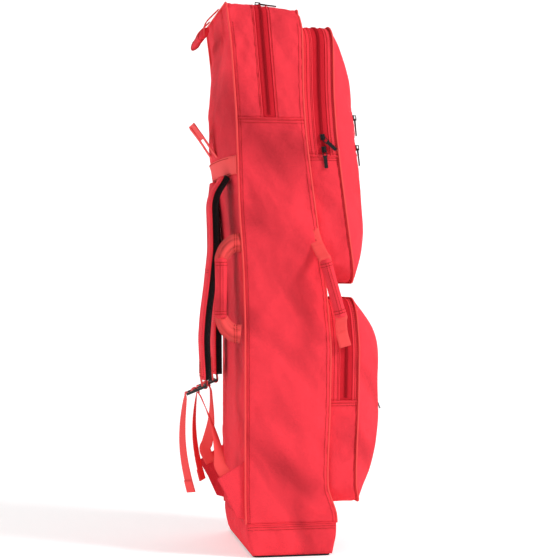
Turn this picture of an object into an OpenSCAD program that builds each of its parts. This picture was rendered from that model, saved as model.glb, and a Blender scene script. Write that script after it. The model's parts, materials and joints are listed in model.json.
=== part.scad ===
// Tall hockey kit bag with two front pockets, shoulder straps and carry handles.
// +Z is up, +Y is the wearer's side, -X is the wearer's left. The origin is the centre of the base.

/* [Body] */
// Height of the bag at its back edge
bag_h = 1108; // [900:1:1330]
// Width across the back
body_w = 320; // [250:1:400]
// Depth from the base centre to the back panel at the belly
back_reach = 92; // [75:1:115]
// Depth from the base centre to the front panel at the belly
front_reach = 80; // [64:1:100]
// How far the top of the back panel leans behind the belly
lean = 36; // [20:1:45]
// How far the top of the front panel stands behind the belly
front_lean = 59; // [40:1:72]
// Thickness of a lined fabric panel
wall = 3; // [2:0.5:4]
// Height of the boot round the base
boot_h = 66; // [50:1:85]
// Height of the seam under the hood
hood_z = 878; // [740:1:1000]
// Thickness of the piping cord
piping_d = 4; // [3:0.5:6]
// Thickness of the base panel
base_t = 4; // [3:0.5:6]
// Thickness of the stiff board inside the base
board_t = 5; // [3:0.5:8]

/* [Main zip] */
// Width of every zip tape
tape_w = 28; // [22:1:36]
// Width of every zip chain
chain_w = 6; // [4:0.5:8]
// Distance of the main zip in front of the back edge, at the top
zip_set = 66; // [50:1:80]

/* [Pockets] */
// Width of both pockets
pocket_w = 300; // [230:1:310]
// Bottom of the upper pocket
upper_z0 = 550; // [480:1:600]
// Height of the upper pocket
upper_h = 520; // [400:1:530]
// Depth of the upper pocket's gusset
upper_gusset = 65; // [50:1:90]
// How far the upper pocket's face bulges
upper_bulge = 54; // [30:1:75]
// Bottom of the lower pocket
lower_z0 = 102; // [85:1:130]
// Height of the lower pocket
lower_h = 414; // [330:1:430]
// Depth of the lower pocket's gusset
lower_gusset = 61; // [50:1:90]
// How far the lower pocket's face bulges
lower_bulge = 60; // [30:1:75]
// Corner radius of the pockets
pocket_r = 45; // [25:1:70]

/* [Straps] */
// Height of the yoke band's lower edge
yoke_z = 766; // [640:1:860]
// Width of the yoke band
yoke_h = 38; // [25:1:50]
// Width of a shoulder strap
strap_w = 70; // [50:1:90]
// Thickness of a strap's cover and binding
cover_t = 5; // [3:0.5:8]
// Thickness of a strap's mesh-covered foam
foam_t = 13; // [8:0.5:18]
// Distance of a strap's middle from the bag's middle
strap_x = 88; // [60:1:110]
// Length of a padded strap, measured down the bag
strap_len = 410; // [330:1:490]
// Width of the strap webbing
webbing_w = 25; // [20:1:30]
// Thickness of all webbing
webbing_t = 2.5; // [1.5:0.5:4]
// Length of a buckle
buckle_l = 44; // [36:1:52]

/* [Handles] */
// Length of the top grab handle's grip
top_grip_l = 120; // [90:1:150]
// Diameter of the top grab handle's grip
top_grip_d = 26; // [22:1:32]
// Length of a side handle's grip
side_grip_l = 120; // [90:1:125]
// Diameter of a side handle's grip
side_grip_d = 24; // [18:1:28]
// Width of the haul loop
haul_w = 90; // [60:1:120]

/* [Zip pulls] */
// Length of a zip pull
pull_l = 36; // [26:1:44]
// Width of a zip pull
pull_w = 7; // [5:0.5:9]

/* [Hidden] */
$fn = 32;

half_w = body_w / 2;
pocket_hw = pocket_w / 2;
upper_z1 = upper_z0 + upper_h;
lower_z1 = lower_z0 + lower_h;
fabric = "#f0404e";
fabric_dark = "#dc3545";
webbing_red = "#f23a3c";
black = "#17171a";

// Outline of the body from the side: share of the height, and share of the lean at that height.
back_shape = [[0, -0.45], [0.035, -0.08], [0.1, 0], [0.42, 0], [0.53, 0.11], [0.63, 0.33], [0.8, 0.5],
              [0.93, 0.8], [1, 1.08]];
front_shape = [[0, 0.02], [0.02, -0.16], [0.05, -0.22], [0.09, -0.17], [0.11, 0.11], [0.16, 0.12],
               [0.26, 0.04], [0.38, 0], [0.48, 0.16], [0.6, 0.47], [0.69, 0.7], [0.77, 0.88],
               [0.84, 0.97], [0.92, 0.99], [0.955, 1], [0.975, 1.07], [0.99, 1.22]];
function back_y(z) = back_reach + lean * lookup(z / bag_h, back_shape);
function front_y(z) = -front_reach + front_lean * lookup(z / bag_h, front_shape);

// Top of the hood, from its front edge to its back edge
front_top_z = 0.99 * bag_h;
function top_z(y) = lookup(y, [[front_y(front_top_z), front_top_z], [back_y(bag_h) - 45, bag_h - 2],
                               [back_y(bag_h), bag_h]]);
function levels(a, b, n) = [for (i = [0:n]) a + (b - a) * i / n];
function back_edge(a, b) = concat([a], [for (s = back_shape) if (s[0] * bag_h > a && s[0] * bag_h < b)
                                        s[0] * bag_h], [b]);
function front_edge(a, b) = concat([a], [for (s = front_shape) if (s[0] * bag_h > a && s[0] * bag_h < b)
                                         s[0] * bag_h], [b]);
function reversed(v) = [for (i = [len(v) - 1:-1:0]) v[i]];

// Outline of the body between two heights, drawn in by inset
function outline(a, b, inset) = concat(
    [for (z = back_edge(a, b)) [back_y(z) - inset, z]],
    b < bag_h ? [] : [[back_y(bag_h) - 45, bag_h - 2 - inset]],
    [for (z = reversed(front_edge(a, min(b, front_top_z)))) [front_y(z) + inset, z]]);

module along_x(x0, x1) {
    translate([x0, 0, 0]) rotate([90, 0, 90]) linear_extrude(x1 - x0) children();
}

// A strip of panel that follows the back edge or the front edge
module back_strip(a, b, out, t) {
    zs = back_edge(a, b);
    polygon(concat([for (z = zs) [back_y(z) + out, z]], [for (z = reversed(zs)) [back_y(z) + out - t, z]]));
}
module front_strip(a, b, out, t) {
    zs = front_edge(a, b);
    polygon(concat([for (z = zs) [front_y(z) - out, z]], [for (z = reversed(zs)) [front_y(z) - out + t, z]]));
}

module back_panel() {
    color(fabric) along_x(-half_w + wall, half_w - wall) back_strip(boot_h, bag_h - wall - 1, 0, wall);
}

module front_panel() {
    color(fabric) along_x(-half_w + wall, half_w - wall)
        front_strip(boot_h, front_top_z - wall - 1, 0, wall);
}

module side_panel(x) {
    color(fabric) along_x(x, x + wall) polygon(outline(boot_h, hood_z, 0));
}

module side_panel_left() {
    side_panel(-half_w);
}

module side_panel_right() {
    side_panel(half_w - wall);
}

// The hood is one band of fabric up one side, over the top and down the other side
module hood_shell() {
    difference() {
        along_x(-half_w, half_w) polygon(outline(hood_z, bag_h, 0));
        along_x(-half_w + wall, half_w - wall)
            polygon([[back_y(bag_h) + 60, hood_z - 1], [back_y(bag_h) + 60, bag_h - wall],
                     [back_y(bag_h), bag_h - wall], [back_y(bag_h) - 45, bag_h - 2 - wall],
                     [front_y(front_top_z), front_top_z - wall], [-front_reach * 2, front_top_z - wall],
                     [-front_reach * 2, hood_z - 1]]);
    }
}

// The main zip's line on the side and over the top
zip_top_y = back_y(bag_h) - zip_set;
zip_low_y = back_y(hood_z) - zip_set;
module zip_slab(w, low) {
    along_x(-half_w - 5, half_w + 5)
        polygon([[zip_low_y - w / 2, low], [zip_low_y + w / 2, low],
                 [zip_top_y + w / 2, bag_h + 10], [zip_top_y - w / 2, bag_h + 10]]);
}
module behind_zip(w) {
    along_x(-half_w - 5, half_w + 5)
        polygon([[zip_low_y + w / 2, hood_z - 5], [back_y(bag_h) + 80, hood_z - 5],
                 [back_y(bag_h) + 80, bag_h + 10], [zip_top_y + w / 2, bag_h + 10]]);
}

module hood_back() {
    color(fabric) intersection() {
        hood_shell();
        behind_zip(tape_w);
    }
}

module hood_front() {
    color(fabric) difference() {
        hood_shell();
        behind_zip(tape_w);
        zip_slab(tape_w + 0.01, hood_z - 5);
    }
}

module main_zip_tape() {
    color(fabric_dark) intersection() {
        hood_shell();
        zip_slab(tape_w, hood_z - 5);
    }
}

// The chain stands proud of the tape, up the sides and over the top
chain_proud = 1.2;
chain_end = hood_z + 6;
module main_zip_chain() {
    color(fabric_dark) difference() {
        intersection() {
            along_x(-half_w - chain_proud, half_w + chain_proud)
                polygon([[back_y(bag_h), chain_end], [back_y(bag_h), bag_h + chain_proud],
                         [back_y(bag_h) - 45, bag_h - 2 + chain_proud],
                         [front_y(front_top_z), front_top_z + chain_proud],
                         [front_y(front_top_z), chain_end]]);
            zip_slab(chain_w, hood_z);
        }
        along_x(-half_w, half_w) polygon(outline(hood_z, bag_h, 0));
    }
}

module boot() {
    color(fabric) difference() {
        along_x(-half_w, half_w) polygon(outline(base_t, boot_h, 0));
        along_x(-half_w + wall, half_w - wall) polygon(outline(base_t - 1, boot_h + 1, wall));
    }
}

base_y0 = front_y(base_t);
base_y1 = back_y(base_t);
base_r = 12;
module rounded_slab(inset, t) {
    hull() for (x = [-1, 1], y = [base_y0 + base_r + inset, base_y1 - base_r - inset])
        translate([x * (half_w - base_r - inset), y, 0]) cylinder(r = base_r, h = t);
}

module base_panel() {
    color(black) rounded_slab(0, base_t);
}

board_gap = 5;
module base_board() {
    color("#6b6b70") translate([0, 0, base_t]) rounded_slab(board_gap, board_t);
}

// Piping: a cord sewn in the seam all round the back panel, and one round the front panel
module back_piping() {
    color(webbing_red) {
        for (x = [-half_w - 1, half_w - piping_d + 1])
            along_x(x, x + piping_d) back_strip(boot_h, bag_h, piping_d, piping_d);
        along_x(-half_w - 1, half_w + 1) translate([back_y(bag_h), bag_h]) square(piping_d);
    }
}

module front_piping() {
    color(webbing_red) {
        for (x = [-half_w - 1, half_w - piping_d + 1])
            along_x(x, x + piping_d) front_strip(boot_h, front_top_z, piping_d, piping_d);
        along_x(-half_w - 1, half_w + 1)
            translate([front_y(front_top_z) - piping_d, front_top_z]) square(piping_d);
    }
}

// Pockets: a loop of points round a rounded rectangle, seen from the front
function corner(cx, cz, a0, a1) = [for (i = [0:5]) let (a = a0 + (a1 - a0) * i / 5)
                                   [cx + pocket_r * cos(a), cz + pocket_r * sin(a)]];
// Heights down a pocket's side: every bend of the body's front edge, and a point between each two
function leg(a, b) = let (e = front_edge(a, b))
    concat([for (i = [0:len(e) - 2], k = [0, 0.5]) e[i] + (e[i + 1] - e[i]) * k], [b]);
function upper_half(z_end, z1) = concat(
    [for (z = leg(z_end, z1 - pocket_r - 20)) [-pocket_hw, z]],
    corner(-pocket_hw + pocket_r, z1 - pocket_r, 180, 90),
    corner(pocket_hw - pocket_r, z1 - pocket_r, 90, 0),
    [for (z = reversed(leg(z_end, z1 - pocket_r - 20))) [pocket_hw, z]]);
function lower_half(z_end, z0) = concat(
    [for (z = reversed(leg(z0 + pocket_r + 15, z_end))) [pocket_hw, z]],
    corner(pocket_hw - pocket_r, z0 + pocket_r, 0, -90),
    corner(-pocket_hw + pocket_r, z0 + pocket_r, -90, -180),
    [for (z = leg(z0 + pocket_r + 15, z_end)) [-pocket_hw, z]]);
function whole_loop(z_mid, z0, z1) = concat(upper_half(z_mid, z1), [for (p = lower_half(z_mid, z0))
                                            if (p[1] != z_mid) p]);

// Direction into the loop at one of its points, for a loop that runs clockwise from the front
function inward(pts, i, closed) = let (n = len(pts),
    a = closed ? pts[(i + n - 1) % n] : pts[max(i - 1, 0)],
    b = closed ? pts[(i + 1) % n] : pts[min(i + 1, n - 1)],
    d = (b - a) / norm(b - a)) [d[1], -d[0]];

// A band of fabric that follows a loop, from depth d0 to depth d1 in front of the body
module band(pts, t, d0, d1, closed = false) {
    n = len(pts);
    last = closed ? n - 1 : n - 2;
    corners = [for (i = [0:n - 1], k = [0:3])
        let (in = inward(pts, i, closed) * (k < 2 ? 0 : t), d = (k == 0 || k == 3) ? d0 : d1)
        [pts[i][0] + in[0], front_y(pts[i][1] + in[1]) - d, pts[i][1] + in[1]]];
    sides = [for (i = [0:last], k = [0:3])
        [4 * i + k, 4 * i + (k + 1) % 4, 4 * ((i + 1) % n) + (k + 1) % 4, 4 * ((i + 1) % n) + k]];
    ends = closed ? [] : [[3, 2, 1, 0], [4 * n - 4, 4 * n - 3, 4 * n - 2, 4 * n - 1]];
    polyhedron(corners, concat(sides, ends));
}

// A pocket's face swells from its edge to its middle
function swell(x, z, z0, z1) = let (u = abs(x) / pocket_hw, v = abs(2 * z - z0 - z1) / (z1 - z0))
    max(0, 1 - pow(u, 4)) * max(0, 1 - pow(v, 4));
function face_y(x, z, z0, z1, gusset, bulge) = front_y(z) - gusset - bulge * swell(x, z, z0, z1);

rings = 8;
module pocket_face(z0, z1, gusset, bulge) {
    loop = whole_loop((z0 + z1) / 2, z0, z1);
    n = len(loop);
    mid = [0, (z0 + z1) / 2];
    function spot(i, k) = mid + (loop[i] - mid) * (1 - k / rings);
    function skin(back) = [for (k = [0:rings - 1], i = [0:n - 1]) let (p = spot(i, k))
        [p[0], face_y(p[0], p[1], z0, z1, gusset, bulge) + back, p[1]]];
    front = skin(-wall);
    rear = skin(0);
    count = n * rings;
    tips = [[0, face_y(0, mid[1], z0, z1, gusset, bulge) - wall, mid[1]],
            [0, face_y(0, mid[1], z0, z1, gusset, bulge), mid[1]]];
    faces = concat(
        [for (k = [0:rings - 2], i = [0:n - 1]) let (j = (i + 1) % n)
            [k * n + i, k * n + j, (k + 1) * n + j, (k + 1) * n + i]],
        [for (k = [0:rings - 2], i = [0:n - 1]) let (j = (i + 1) % n)
            [count + (k + 1) * n + i, count + (k + 1) * n + j, count + k * n + j, count + k * n + i]],
        [for (i = [0:n - 1]) let (j = (i + 1) % n) [(rings - 1) * n + i, (rings - 1) * n + j, 2 * count]],
        [for (i = [0:n - 1]) let (j = (i + 1) % n)
            [2 * count + 1, count + (rings - 1) * n + j, count + (rings - 1) * n + i]],
        [for (i = [0:n - 1]) let (j = (i + 1) % n) [i, count + i, count + j, j]]);
    color(fabric) polyhedron(concat(front, rear, tips), faces);
}

// A pocket's gusset: a rear strip, the zip, a flap in front of it, and a plain part below the zip
rear_strip = 22;
seam_gap = 0.6;
tape_t = 2;
module pocket_zip(z_end, z1) {
    color(fabric_dark) band(upper_half(z_end, z1), tape_t, rear_strip, rear_strip + tape_w);
}

upper_zip_end = upper_z0 + 0.49 * upper_h;
lower_zip_end = lower_z0 + 0.5 * lower_h;

module upper_pocket_face() {
    pocket_face(upper_z0, upper_z1, upper_gusset, upper_bulge);
}

module upper_pocket_gusset() {
    color(fabric) band(upper_half(upper_zip_end, upper_z1), wall, seam_gap, rear_strip);
}

module upper_pocket_flap() {
    color(fabric) band(upper_half(upper_zip_end, upper_z1), wall, rear_strip + tape_w, upper_gusset);
}

module upper_pocket_lower_gusset() {
    color(fabric) band(lower_half(upper_zip_end, upper_z0), wall, seam_gap, upper_gusset);
}

module upper_pocket_zip() {
    pocket_zip(upper_zip_end, upper_z1);
}

module pocket_piping(z0, z1, gusset) {
    loop = whole_loop((z0 + z1) / 2, z0, z1);
    n = len(loop);
    outer = [for (i = [0:n - 1]) loop[i] - inward(loop, i, true) * piping_d];
    color(webbing_red) band(outer, piping_d, gusset - piping_d / 2, gusset + piping_d / 2, true);
}

module upper_pocket_piping() {
    pocket_piping(upper_z0, upper_z1, upper_gusset);
}

module lower_pocket_face() {
    pocket_face(lower_z0, lower_z1, lower_gusset, lower_bulge);
}

module lower_pocket_gusset() {
    color(fabric) band(upper_half(lower_zip_end, lower_z1), wall, seam_gap, rear_strip);
}

module lower_pocket_flap() {
    color(fabric) band(upper_half(lower_zip_end, lower_z1), wall, rear_strip + tape_w, lower_gusset);
}

module lower_pocket_lower_gusset() {
    color(fabric) band(lower_half(lower_zip_end, lower_z0), wall, seam_gap, lower_gusset);
}

module lower_pocket_zip() {
    pocket_zip(lower_zip_end, lower_z1);
}

module lower_pocket_piping() {
    pocket_piping(lower_z0, lower_z1, lower_gusset);
}

// Zips on the pockets' faces: strips that lie on the skin, to half_l each way along the direction dir
skin_gap = 0.2;
face_zip_t = 1.6;
module face_strip(spot, dir, half_l, w, t, z0, z1, gusset, bulge) {
    across = [-dir[1], dir[0]];
    n = 10;
    function skin(p, out) = [p[0], face_y(p[0], p[1], z0, z1, gusset, bulge) - wall - out, p[1]];
    corners = [for (i = [0:n], k = [0:3])
        let (p = spot + dir * half_l * (2 * i / n - 1) + across * (w / 2) * ((k == 1 || k == 2) ? 1 : -1))
        skin(p, skin_gap + (k < 2 ? 0 : t))];
    sides = [for (i = [0:n - 1], k = [0:3])
        [4 * i + (k + 1) % 4, 4 * i + k, 4 * (i + 1) + k, 4 * (i + 1) + (k + 1) % 4]];
    polyhedron(corners, concat(sides, [[0, 1, 2, 3], [4 * n + 3, 4 * n + 2, 4 * n + 1, 4 * n]]));
}

// Two short level zips on the upper pocket's face, and one upright zip on the lower pocket's face
face_zip_half = 75;
face_zip_high = upper_z0 + 0.66 * upper_h;
face_zip_low = upper_z0 + 0.54 * upper_h;
front_zip_half = 120;
front_zip_mid = lower_z0 + 0.5 * lower_h;
module face_zips() {
    color(fabric_dark) {
        for (z = [face_zip_high, face_zip_low])
            face_strip([0, z], [1, 0], face_zip_half, tape_w, face_zip_t, upper_z0, upper_z1,
                       upper_gusset, upper_bulge);
        face_strip([0, front_zip_mid], [0, 1], front_zip_half, tape_w, face_zip_t, lower_z0, lower_z1,
                   lower_gusset, lower_bulge);
    }
}

// Zip slider and pull: the rear of the slider lies in the XZ plane and the chain runs along Z
slider_w = 9;
slider_l = 12;
slider_t = 3;
bail_t = 2;
bail_h = 5.5;
bail_l = 11;
window_l = 8;
window_h = 3.8;
pin_z = -2.2;
pin_y = -slider_t - window_h / 2;
pin_r = 0.8;
head_w = pull_w + 2;
arm_w = 1.4;
arm_l = 10.5;
module slider_body() {
    color(black) {
        translate([-slider_w / 2, -slider_t, -slider_l / 2]) cube([slider_w, slider_t, slider_l]);
        difference() {
            translate([-bail_t / 2, -slider_t - bail_h, -bail_l / 2]) cube([bail_t, bail_h, bail_l]);
            translate([-bail_t, -slider_t - window_h, -window_l / 2])
                cube([2 * bail_t, window_h, window_l]);
        }
    }
}
module pull_body(swing, slant) {
    color(black) translate([0, pin_y, pin_z]) rotate([0, slant, 0]) rotate([-swing, 0, 0]) {
        translate([-head_w / 2, 0, 0]) rotate([0, 90, 0]) cylinder(r = pin_r, h = head_w);
        for (x = [-head_w / 2, head_w / 2 - arm_w])
            translate([x, -pin_r, -arm_l]) cube([arm_w, 2 * pin_r, arm_l]);
        translate([-head_w / 2, -pin_r, -arm_l - 3]) cube([head_w, 2 * pin_r, 3]);
        translate([-pull_w / 2, -pin_r, -pull_l]) cube([pull_w, 2 * pin_r, pull_l - arm_l - 2]);
    }
}

ride_gap = 1.5;
chain_depth = rear_strip + tape_w / 2;
function skin_upper(x, z) = face_y(x, z, upper_z0, upper_z1, upper_gusset, upper_bulge) - wall;
function skin_lower(x, z) = face_y(x, z, lower_z0, lower_z1, lower_gusset, lower_bulge) - wall;
function slope(za, zb, ya, yb) = atan2(yb - ya, zb - za);

// On the left leg of the upper pocket's zip
upper_high_z = upper_zip_end + 38;
upper_low_z = upper_zip_end + 13;
module on_left_leg(z, gap) {
    translate([-pocket_hw - gap, front_y(z) - chain_depth, z])
        rotate([-slope(z - 10, z + 10, front_y(z - 10), front_y(z + 10)), 0, 0]) rotate([0, 0, -90]) children();
}
leg_gap = 0.5;
pull_slant = 42;
module upper_slider_high() {
    on_left_leg(upper_high_z, leg_gap) slider_body();
}
module upper_slider_low() {
    on_left_leg(upper_low_z, leg_gap) slider_body();
}
module upper_pull_high() {
    on_left_leg(upper_high_z, leg_gap) pull_body(0, -pull_slant);
}
module upper_pull_low() {
    on_left_leg(upper_low_z, leg_gap) pull_body(0, 0);
}

// On the right leg of the lower pocket's zip
lower_slider_z = lower_zip_end + 14;
module on_right_leg() {
    translate([pocket_hw + leg_gap, front_y(lower_slider_z) - chain_depth, lower_slider_z])
        rotate([0, 0, 90]) children();
}
module lower_slider() {
    on_right_leg() slider_body();
}
module lower_pull() {
    on_right_leg() pull_body(0, 0);
}

// On the level face zips of the upper pocket
face_slider_x = -55;
module on_upper_face(z) {
    translate([face_slider_x, skin_upper(face_slider_x, z) - skin_gap - face_zip_t - ride_gap, z])
        rotate([-slope(z - 10, z + 10, skin_upper(face_slider_x, z - 10), skin_upper(face_slider_x, z + 10)),
                0, 0]) children();
}
module face_slider_high() {
    on_upper_face(face_zip_high) slider_body();
}
module face_slider_low() {
    on_upper_face(face_zip_low) slider_body();
}
module face_pull_high() {
    on_upper_face(face_zip_high) pull_body(0, 0);
}
module face_pull_low() {
    on_upper_face(face_zip_low) pull_body(0, 0);
}

// On the upright zip of the lower pocket: two sliders that meet
front_high_z = front_zip_mid + 7;
front_low_z = front_zip_mid - 14;
rest_swing = 22;
module on_lower_face(z) {
    translate([0, skin_lower(0, z) - skin_gap - face_zip_t - leg_gap, z])
        rotate([-slope(z - 10, z + 10, skin_lower(0, z - 10), skin_lower(0, z + 10)), 0, 0]) children();
}
module front_slider_high() {
    on_lower_face(front_high_z) slider_body();
}
module front_slider_low() {
    on_lower_face(front_low_z) slider_body();
}
module front_pull_high() {
    on_lower_face(front_high_z) pull_body(rest_swing, 0);
}
module front_pull_low() {
    on_lower_face(front_low_z) pull_body(0, 0);
}

// On the main zip, at the left end of its run over the top
main_slider_x = -half_w + 28;
module on_top() {
    translate([main_slider_x, zip_top_y, top_z(zip_top_y) + chain_proud + leg_gap])
        rotate([-90 + slope(zip_top_y - 10, zip_top_y + 10, top_z(zip_top_y - 10), top_z(zip_top_y + 10)),
                0, 0]) children();
}
module main_slider() {
    on_top() slider_body();
}
module main_pull() {
    on_top() pull_body(0, 0);
}

// Yoke band across the back, where the straps are sewn
module yoke_band() {
    color(webbing_red) along_x(-half_w + piping_d, half_w - piping_d)
        back_strip(yoke_z, yoke_z + yoke_h, wall, wall);
}

// Anchor wings: triangles of fabric sewn in the seams of the back panel, near the base
wing_t = 3;
wing_low = 74;
wing_high = 195;
wing_out = 57;
wing_inset = 6;
module anchor_wings() {
    color(fabric) for (x = [-half_w + wing_inset, half_w - wing_inset - wing_t])
        along_x(x, x + wing_t) polygon([
            [back_y(wing_low), wing_low], [back_y(wing_low) + 22, wing_low + 6],
            [back_reach + 36, wing_low + 48], [back_reach + wing_out, wing_high - 37],
            [back_y(wing_high), wing_high], [back_y(0.1 * bag_h), 0.1 * bag_h]]);
}

// A ribbon of webbing along a path: across is the direction of its width at each point
module ribbon(path, across, w, t) {
    n = len(path);
    function tangent(i) = let (d = path[min(i + 1, n - 1)] - path[max(i - 1, 0)]) d / norm(d);
    function side(i) = let (s = across[i] - (across[i] * tangent(i)) * tangent(i)) s / norm(s);
    corners = [for (i = [0:n - 1], k = [0:3])
        path[i] + side(i) * (w / 2) * ((k == 1 || k == 2) ? 1 : -1)
        + cross(tangent(i), side(i)) * (t / 2) * (k < 2 ? -1 : 1)];
    sides = [for (i = [0:n - 2], k = [0:3], half = [0, 1])
        half == 0 ? [4 * i + (k + 1) % 4, 4 * i + k, 4 * (i + 1) + k]
                  : [4 * i + (k + 1) % 4, 4 * (i + 1) + k, 4 * (i + 1) + (k + 1) % 4]];
    polyhedron(corners, concat(sides, [[0, 1, 2, 3], [4 * n - 1, 4 * n - 2, 4 * n - 3, 4 * n - 4]]));
}

// Haul loop: stands up and out from the yoke
haul_leg = 104;
haul_angle = 44;
haul_webbing = 38;
haul_t = 3;
module haul_frame() {
    translate([0, back_y(yoke_z + yoke_h) + haul_t, yoke_z + yoke_h + 2]) rotate([haul_angle, 0, 0]) children();
}
module haul_loop() {
    color(webbing_red) haul_frame() difference() {
        translate([-haul_w / 2, 0, 0]) cube([haul_w, haul_leg, haul_t]);
        translate([-haul_w / 2 + 22, -1, -1]) cube([haul_w - 44, haul_leg - haul_webbing + 1, haul_t + 2]);
    }
}

// Top grab handle: hangs from the top seam of the back panel
grip_out = 28;
grip_drop = 40;
leg_w = 26;
top_hinge_y = back_y(bag_h) + piping_d + 3;
top_hinge_z = bag_h - 2;
module top_handle_webbing() {
    color(webbing_red) for (x = [-top_grip_l / 2 - leg_w / 2, top_grip_l / 2 + leg_w / 2])
        ribbon([[x, top_hinge_y, top_hinge_z],
                [x, top_hinge_y + 0.42 * grip_out, top_hinge_z - 0.27 * grip_drop],
                [x, top_hinge_y + grip_out, top_hinge_z - grip_drop + 18],
                [x, top_hinge_y + grip_out, top_hinge_z - grip_drop - 8]],
               [for (i = [0:3]) [1, 0, 0]], leg_w, webbing_t);
}
module top_handle_grip() {
    color(fabric) translate([-top_grip_l / 2 - leg_w + 2, top_hinge_y + grip_out, top_hinge_z - grip_drop - 8])
        difference() {
            rotate([0, 90, 0]) cylinder(d = top_grip_d, h = top_grip_l + 2 * leg_w - 4);
            for (x = [-3, top_grip_l + leg_w - 2])
                translate([x, -webbing_t / 2 - 1, 0]) cube([leg_w + 5, webbing_t + 2, top_grip_d]);
        }
}

// Side handles on the left: a webbing leg at each end of a wrapped grip
handle_mid_z = 538;
handle_gap = 2;

// The back handle lies flat behind the seam of the back panel
back_out = 34;
module back_handle() {
    x = -half_w + 1;
    y = back_y(handle_mid_z + side_grip_l) + piping_d + handle_gap;
    color(webbing_red) for (up = [-1, 1])
        along_x(x, x + webbing_t) polygon([
            [y, handle_mid_z + up * (side_grip_l / 2 + 50)], [y, handle_mid_z + up * (side_grip_l / 2 + 12)],
            [y + back_out - 13, handle_mid_z + up * (side_grip_l / 2 - 6)],
            [y + back_out + 11, handle_mid_z + up * (side_grip_l / 2 - 6)],
            [y + back_out + 14, handle_mid_z + up * (side_grip_l / 2 + 8)]]);
    color(fabric) translate([x + webbing_t / 2, y + back_out, handle_mid_z - side_grip_l / 2])
        cylinder(d = side_grip_d, h = side_grip_l);
}

// The front handle stands out from the side, in front of the body's seam and the lower pocket's gusset
front_stand = 30;
front_anchor = 86;
front_anchor_y = -77;
front_handle_tilt = -16;
front_hinge_off = 8;
module front_leg(up) {
    rotate([90, 0, 0]) linear_extrude(webbing_w, center = true) polygon([
        [0, up * front_anchor], [0, up * (front_anchor - 4)],
        [-front_stand, up * (side_grip_l / 2 - 6)], [-front_stand - 6, up * (side_grip_l / 2 - 6)]]);
}
module front_handle() {
    translate([-half_w - 1 - front_hinge_off, front_anchor_y, handle_mid_z]) rotate([front_handle_tilt, 0, 0]) {
        color(webbing_red) {
            front_leg(1);
            front_leg(-1);
        }
        color(fabric) translate([-front_stand, 0, -side_grip_l / 2]) cylinder(d = side_grip_d, h = side_grip_l);
    }
}

// Shoulder straps: stand-off from the back panel at each share of a strap's length
stand_off = [[0, 2], [0.05, 20], [0.12, 32], [0.22, 33], [0.36, 36], [0.55, 48], [0.67, 56], [0.8, 61],
             [0.92, 59], [1, 57]];
strap_top = yoke_z - 3;
strap_end = strap_top - strap_len;
strap_clear = 5;
left_swell = 1;
right_swell = 0.22;
function strap_y(z, amount) = back_y(z) + strap_clear + foam_t + cover_t
    + amount * lookup((strap_top - z) / strap_len, stand_off);
module strap_strip(amount, out, t, low) {
    zs = [for (s = stand_off) max(low, strap_top - s[0] * strap_len)];
    polygon(concat([for (z = zs) [strap_y(z, amount) + out, z]],
                   [for (z = reversed(zs)) [strap_y(z, amount) + out - t, z]]));
}

bar_r = 2.5;
wrap_gap = 0.6;
wrap_drop = 14;
wrap_in = 6;
function wrap_y(amount) = strap_y(strap_end, amount) - wrap_in;
wrap_z = strap_end - wrap_drop;
tab_up = 38;
module strap_cover(x, amount) {
    color(fabric) along_x(x - strap_w / 2, x + strap_w / 2) strap_strip(amount, 0, cover_t, strap_end);
    // The tab is folded round the buckle's bar and sewn on the cover
    color(webbing_red) along_x(x - webbing_w / 2, x + webbing_w / 2) difference() {
        union() {
            translate([wrap_y(amount), wrap_z]) circle(r = bar_r + wrap_gap + webbing_t);
            polygon([[strap_y(strap_end, amount), strap_end + tab_up],
                     [strap_y(strap_end, amount) + webbing_t, strap_end + tab_up],
                     [strap_y(strap_end, amount) + webbing_t, strap_end],
                     [wrap_y(amount) + bar_r + wrap_gap + webbing_t - 1, wrap_z],
                     [wrap_y(amount) + 1, wrap_z], [strap_y(strap_end, amount), strap_end]]);
        }
        translate([wrap_y(amount), wrap_z]) circle(r = bar_r + wrap_gap);
        polygon([[strap_y(strap_end, amount), strap_end - 0.5],
                 [strap_y(strap_end, amount), strap_end + tab_up + 1],
                 [strap_y(strap_end, amount) - cover_t, strap_end + tab_up + 1],
                 [strap_y(strap_end, amount) - cover_t, strap_end - 0.5]]);
    }
}
module strap_foam(x, amount) {
    color(black) along_x(x - strap_w / 2 + 3, x + strap_w / 2 - 3)
        strap_strip(amount, -cover_t, foam_t, strap_end);
}
module strap_cover_left() {
    strap_cover(-strap_x, left_swell);
}
module strap_cover_right() {
    strap_cover(strap_x, right_swell);
}
module strap_foam_left() {
    strap_foam(-strap_x, left_swell);
}
module strap_foam_right() {
    strap_foam(strap_x, right_swell);
}

// Ladder-lock buckle: a frame with cross bars, hung by its first bar in the tab
buckle_side = 4;
buckle_t = 5;
slot_w = webbing_w + 2;
buckle_tilt = -22;
module buckle(x, amount) {
    color(black) translate([x, wrap_y(amount), wrap_z]) rotate([buckle_tilt, 0, 0]) {
        translate([-slot_w / 2 - 1, 0, 0]) rotate([0, 90, 0]) cylinder(r = bar_r, h = slot_w + 2);
        for (s = [-1, 1])
            translate([s * (slot_w + buckle_side) / 2 - buckle_side / 2, -bar_r, -buckle_t / 2])
                cube([buckle_side, buckle_l, buckle_t]);
        for (y = [0.46 * buckle_l, 0.8 * buckle_l])
            translate([-slot_w / 2 - 1, y, -buckle_t / 2 + 0.5]) cube([slot_w + 2, 4, buckle_t - 1]);
    }
}
module buckle_left() {
    buckle(-strap_x, left_swell);
}
module buckle_right() {
    buckle(strap_x, right_swell);
}

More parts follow.
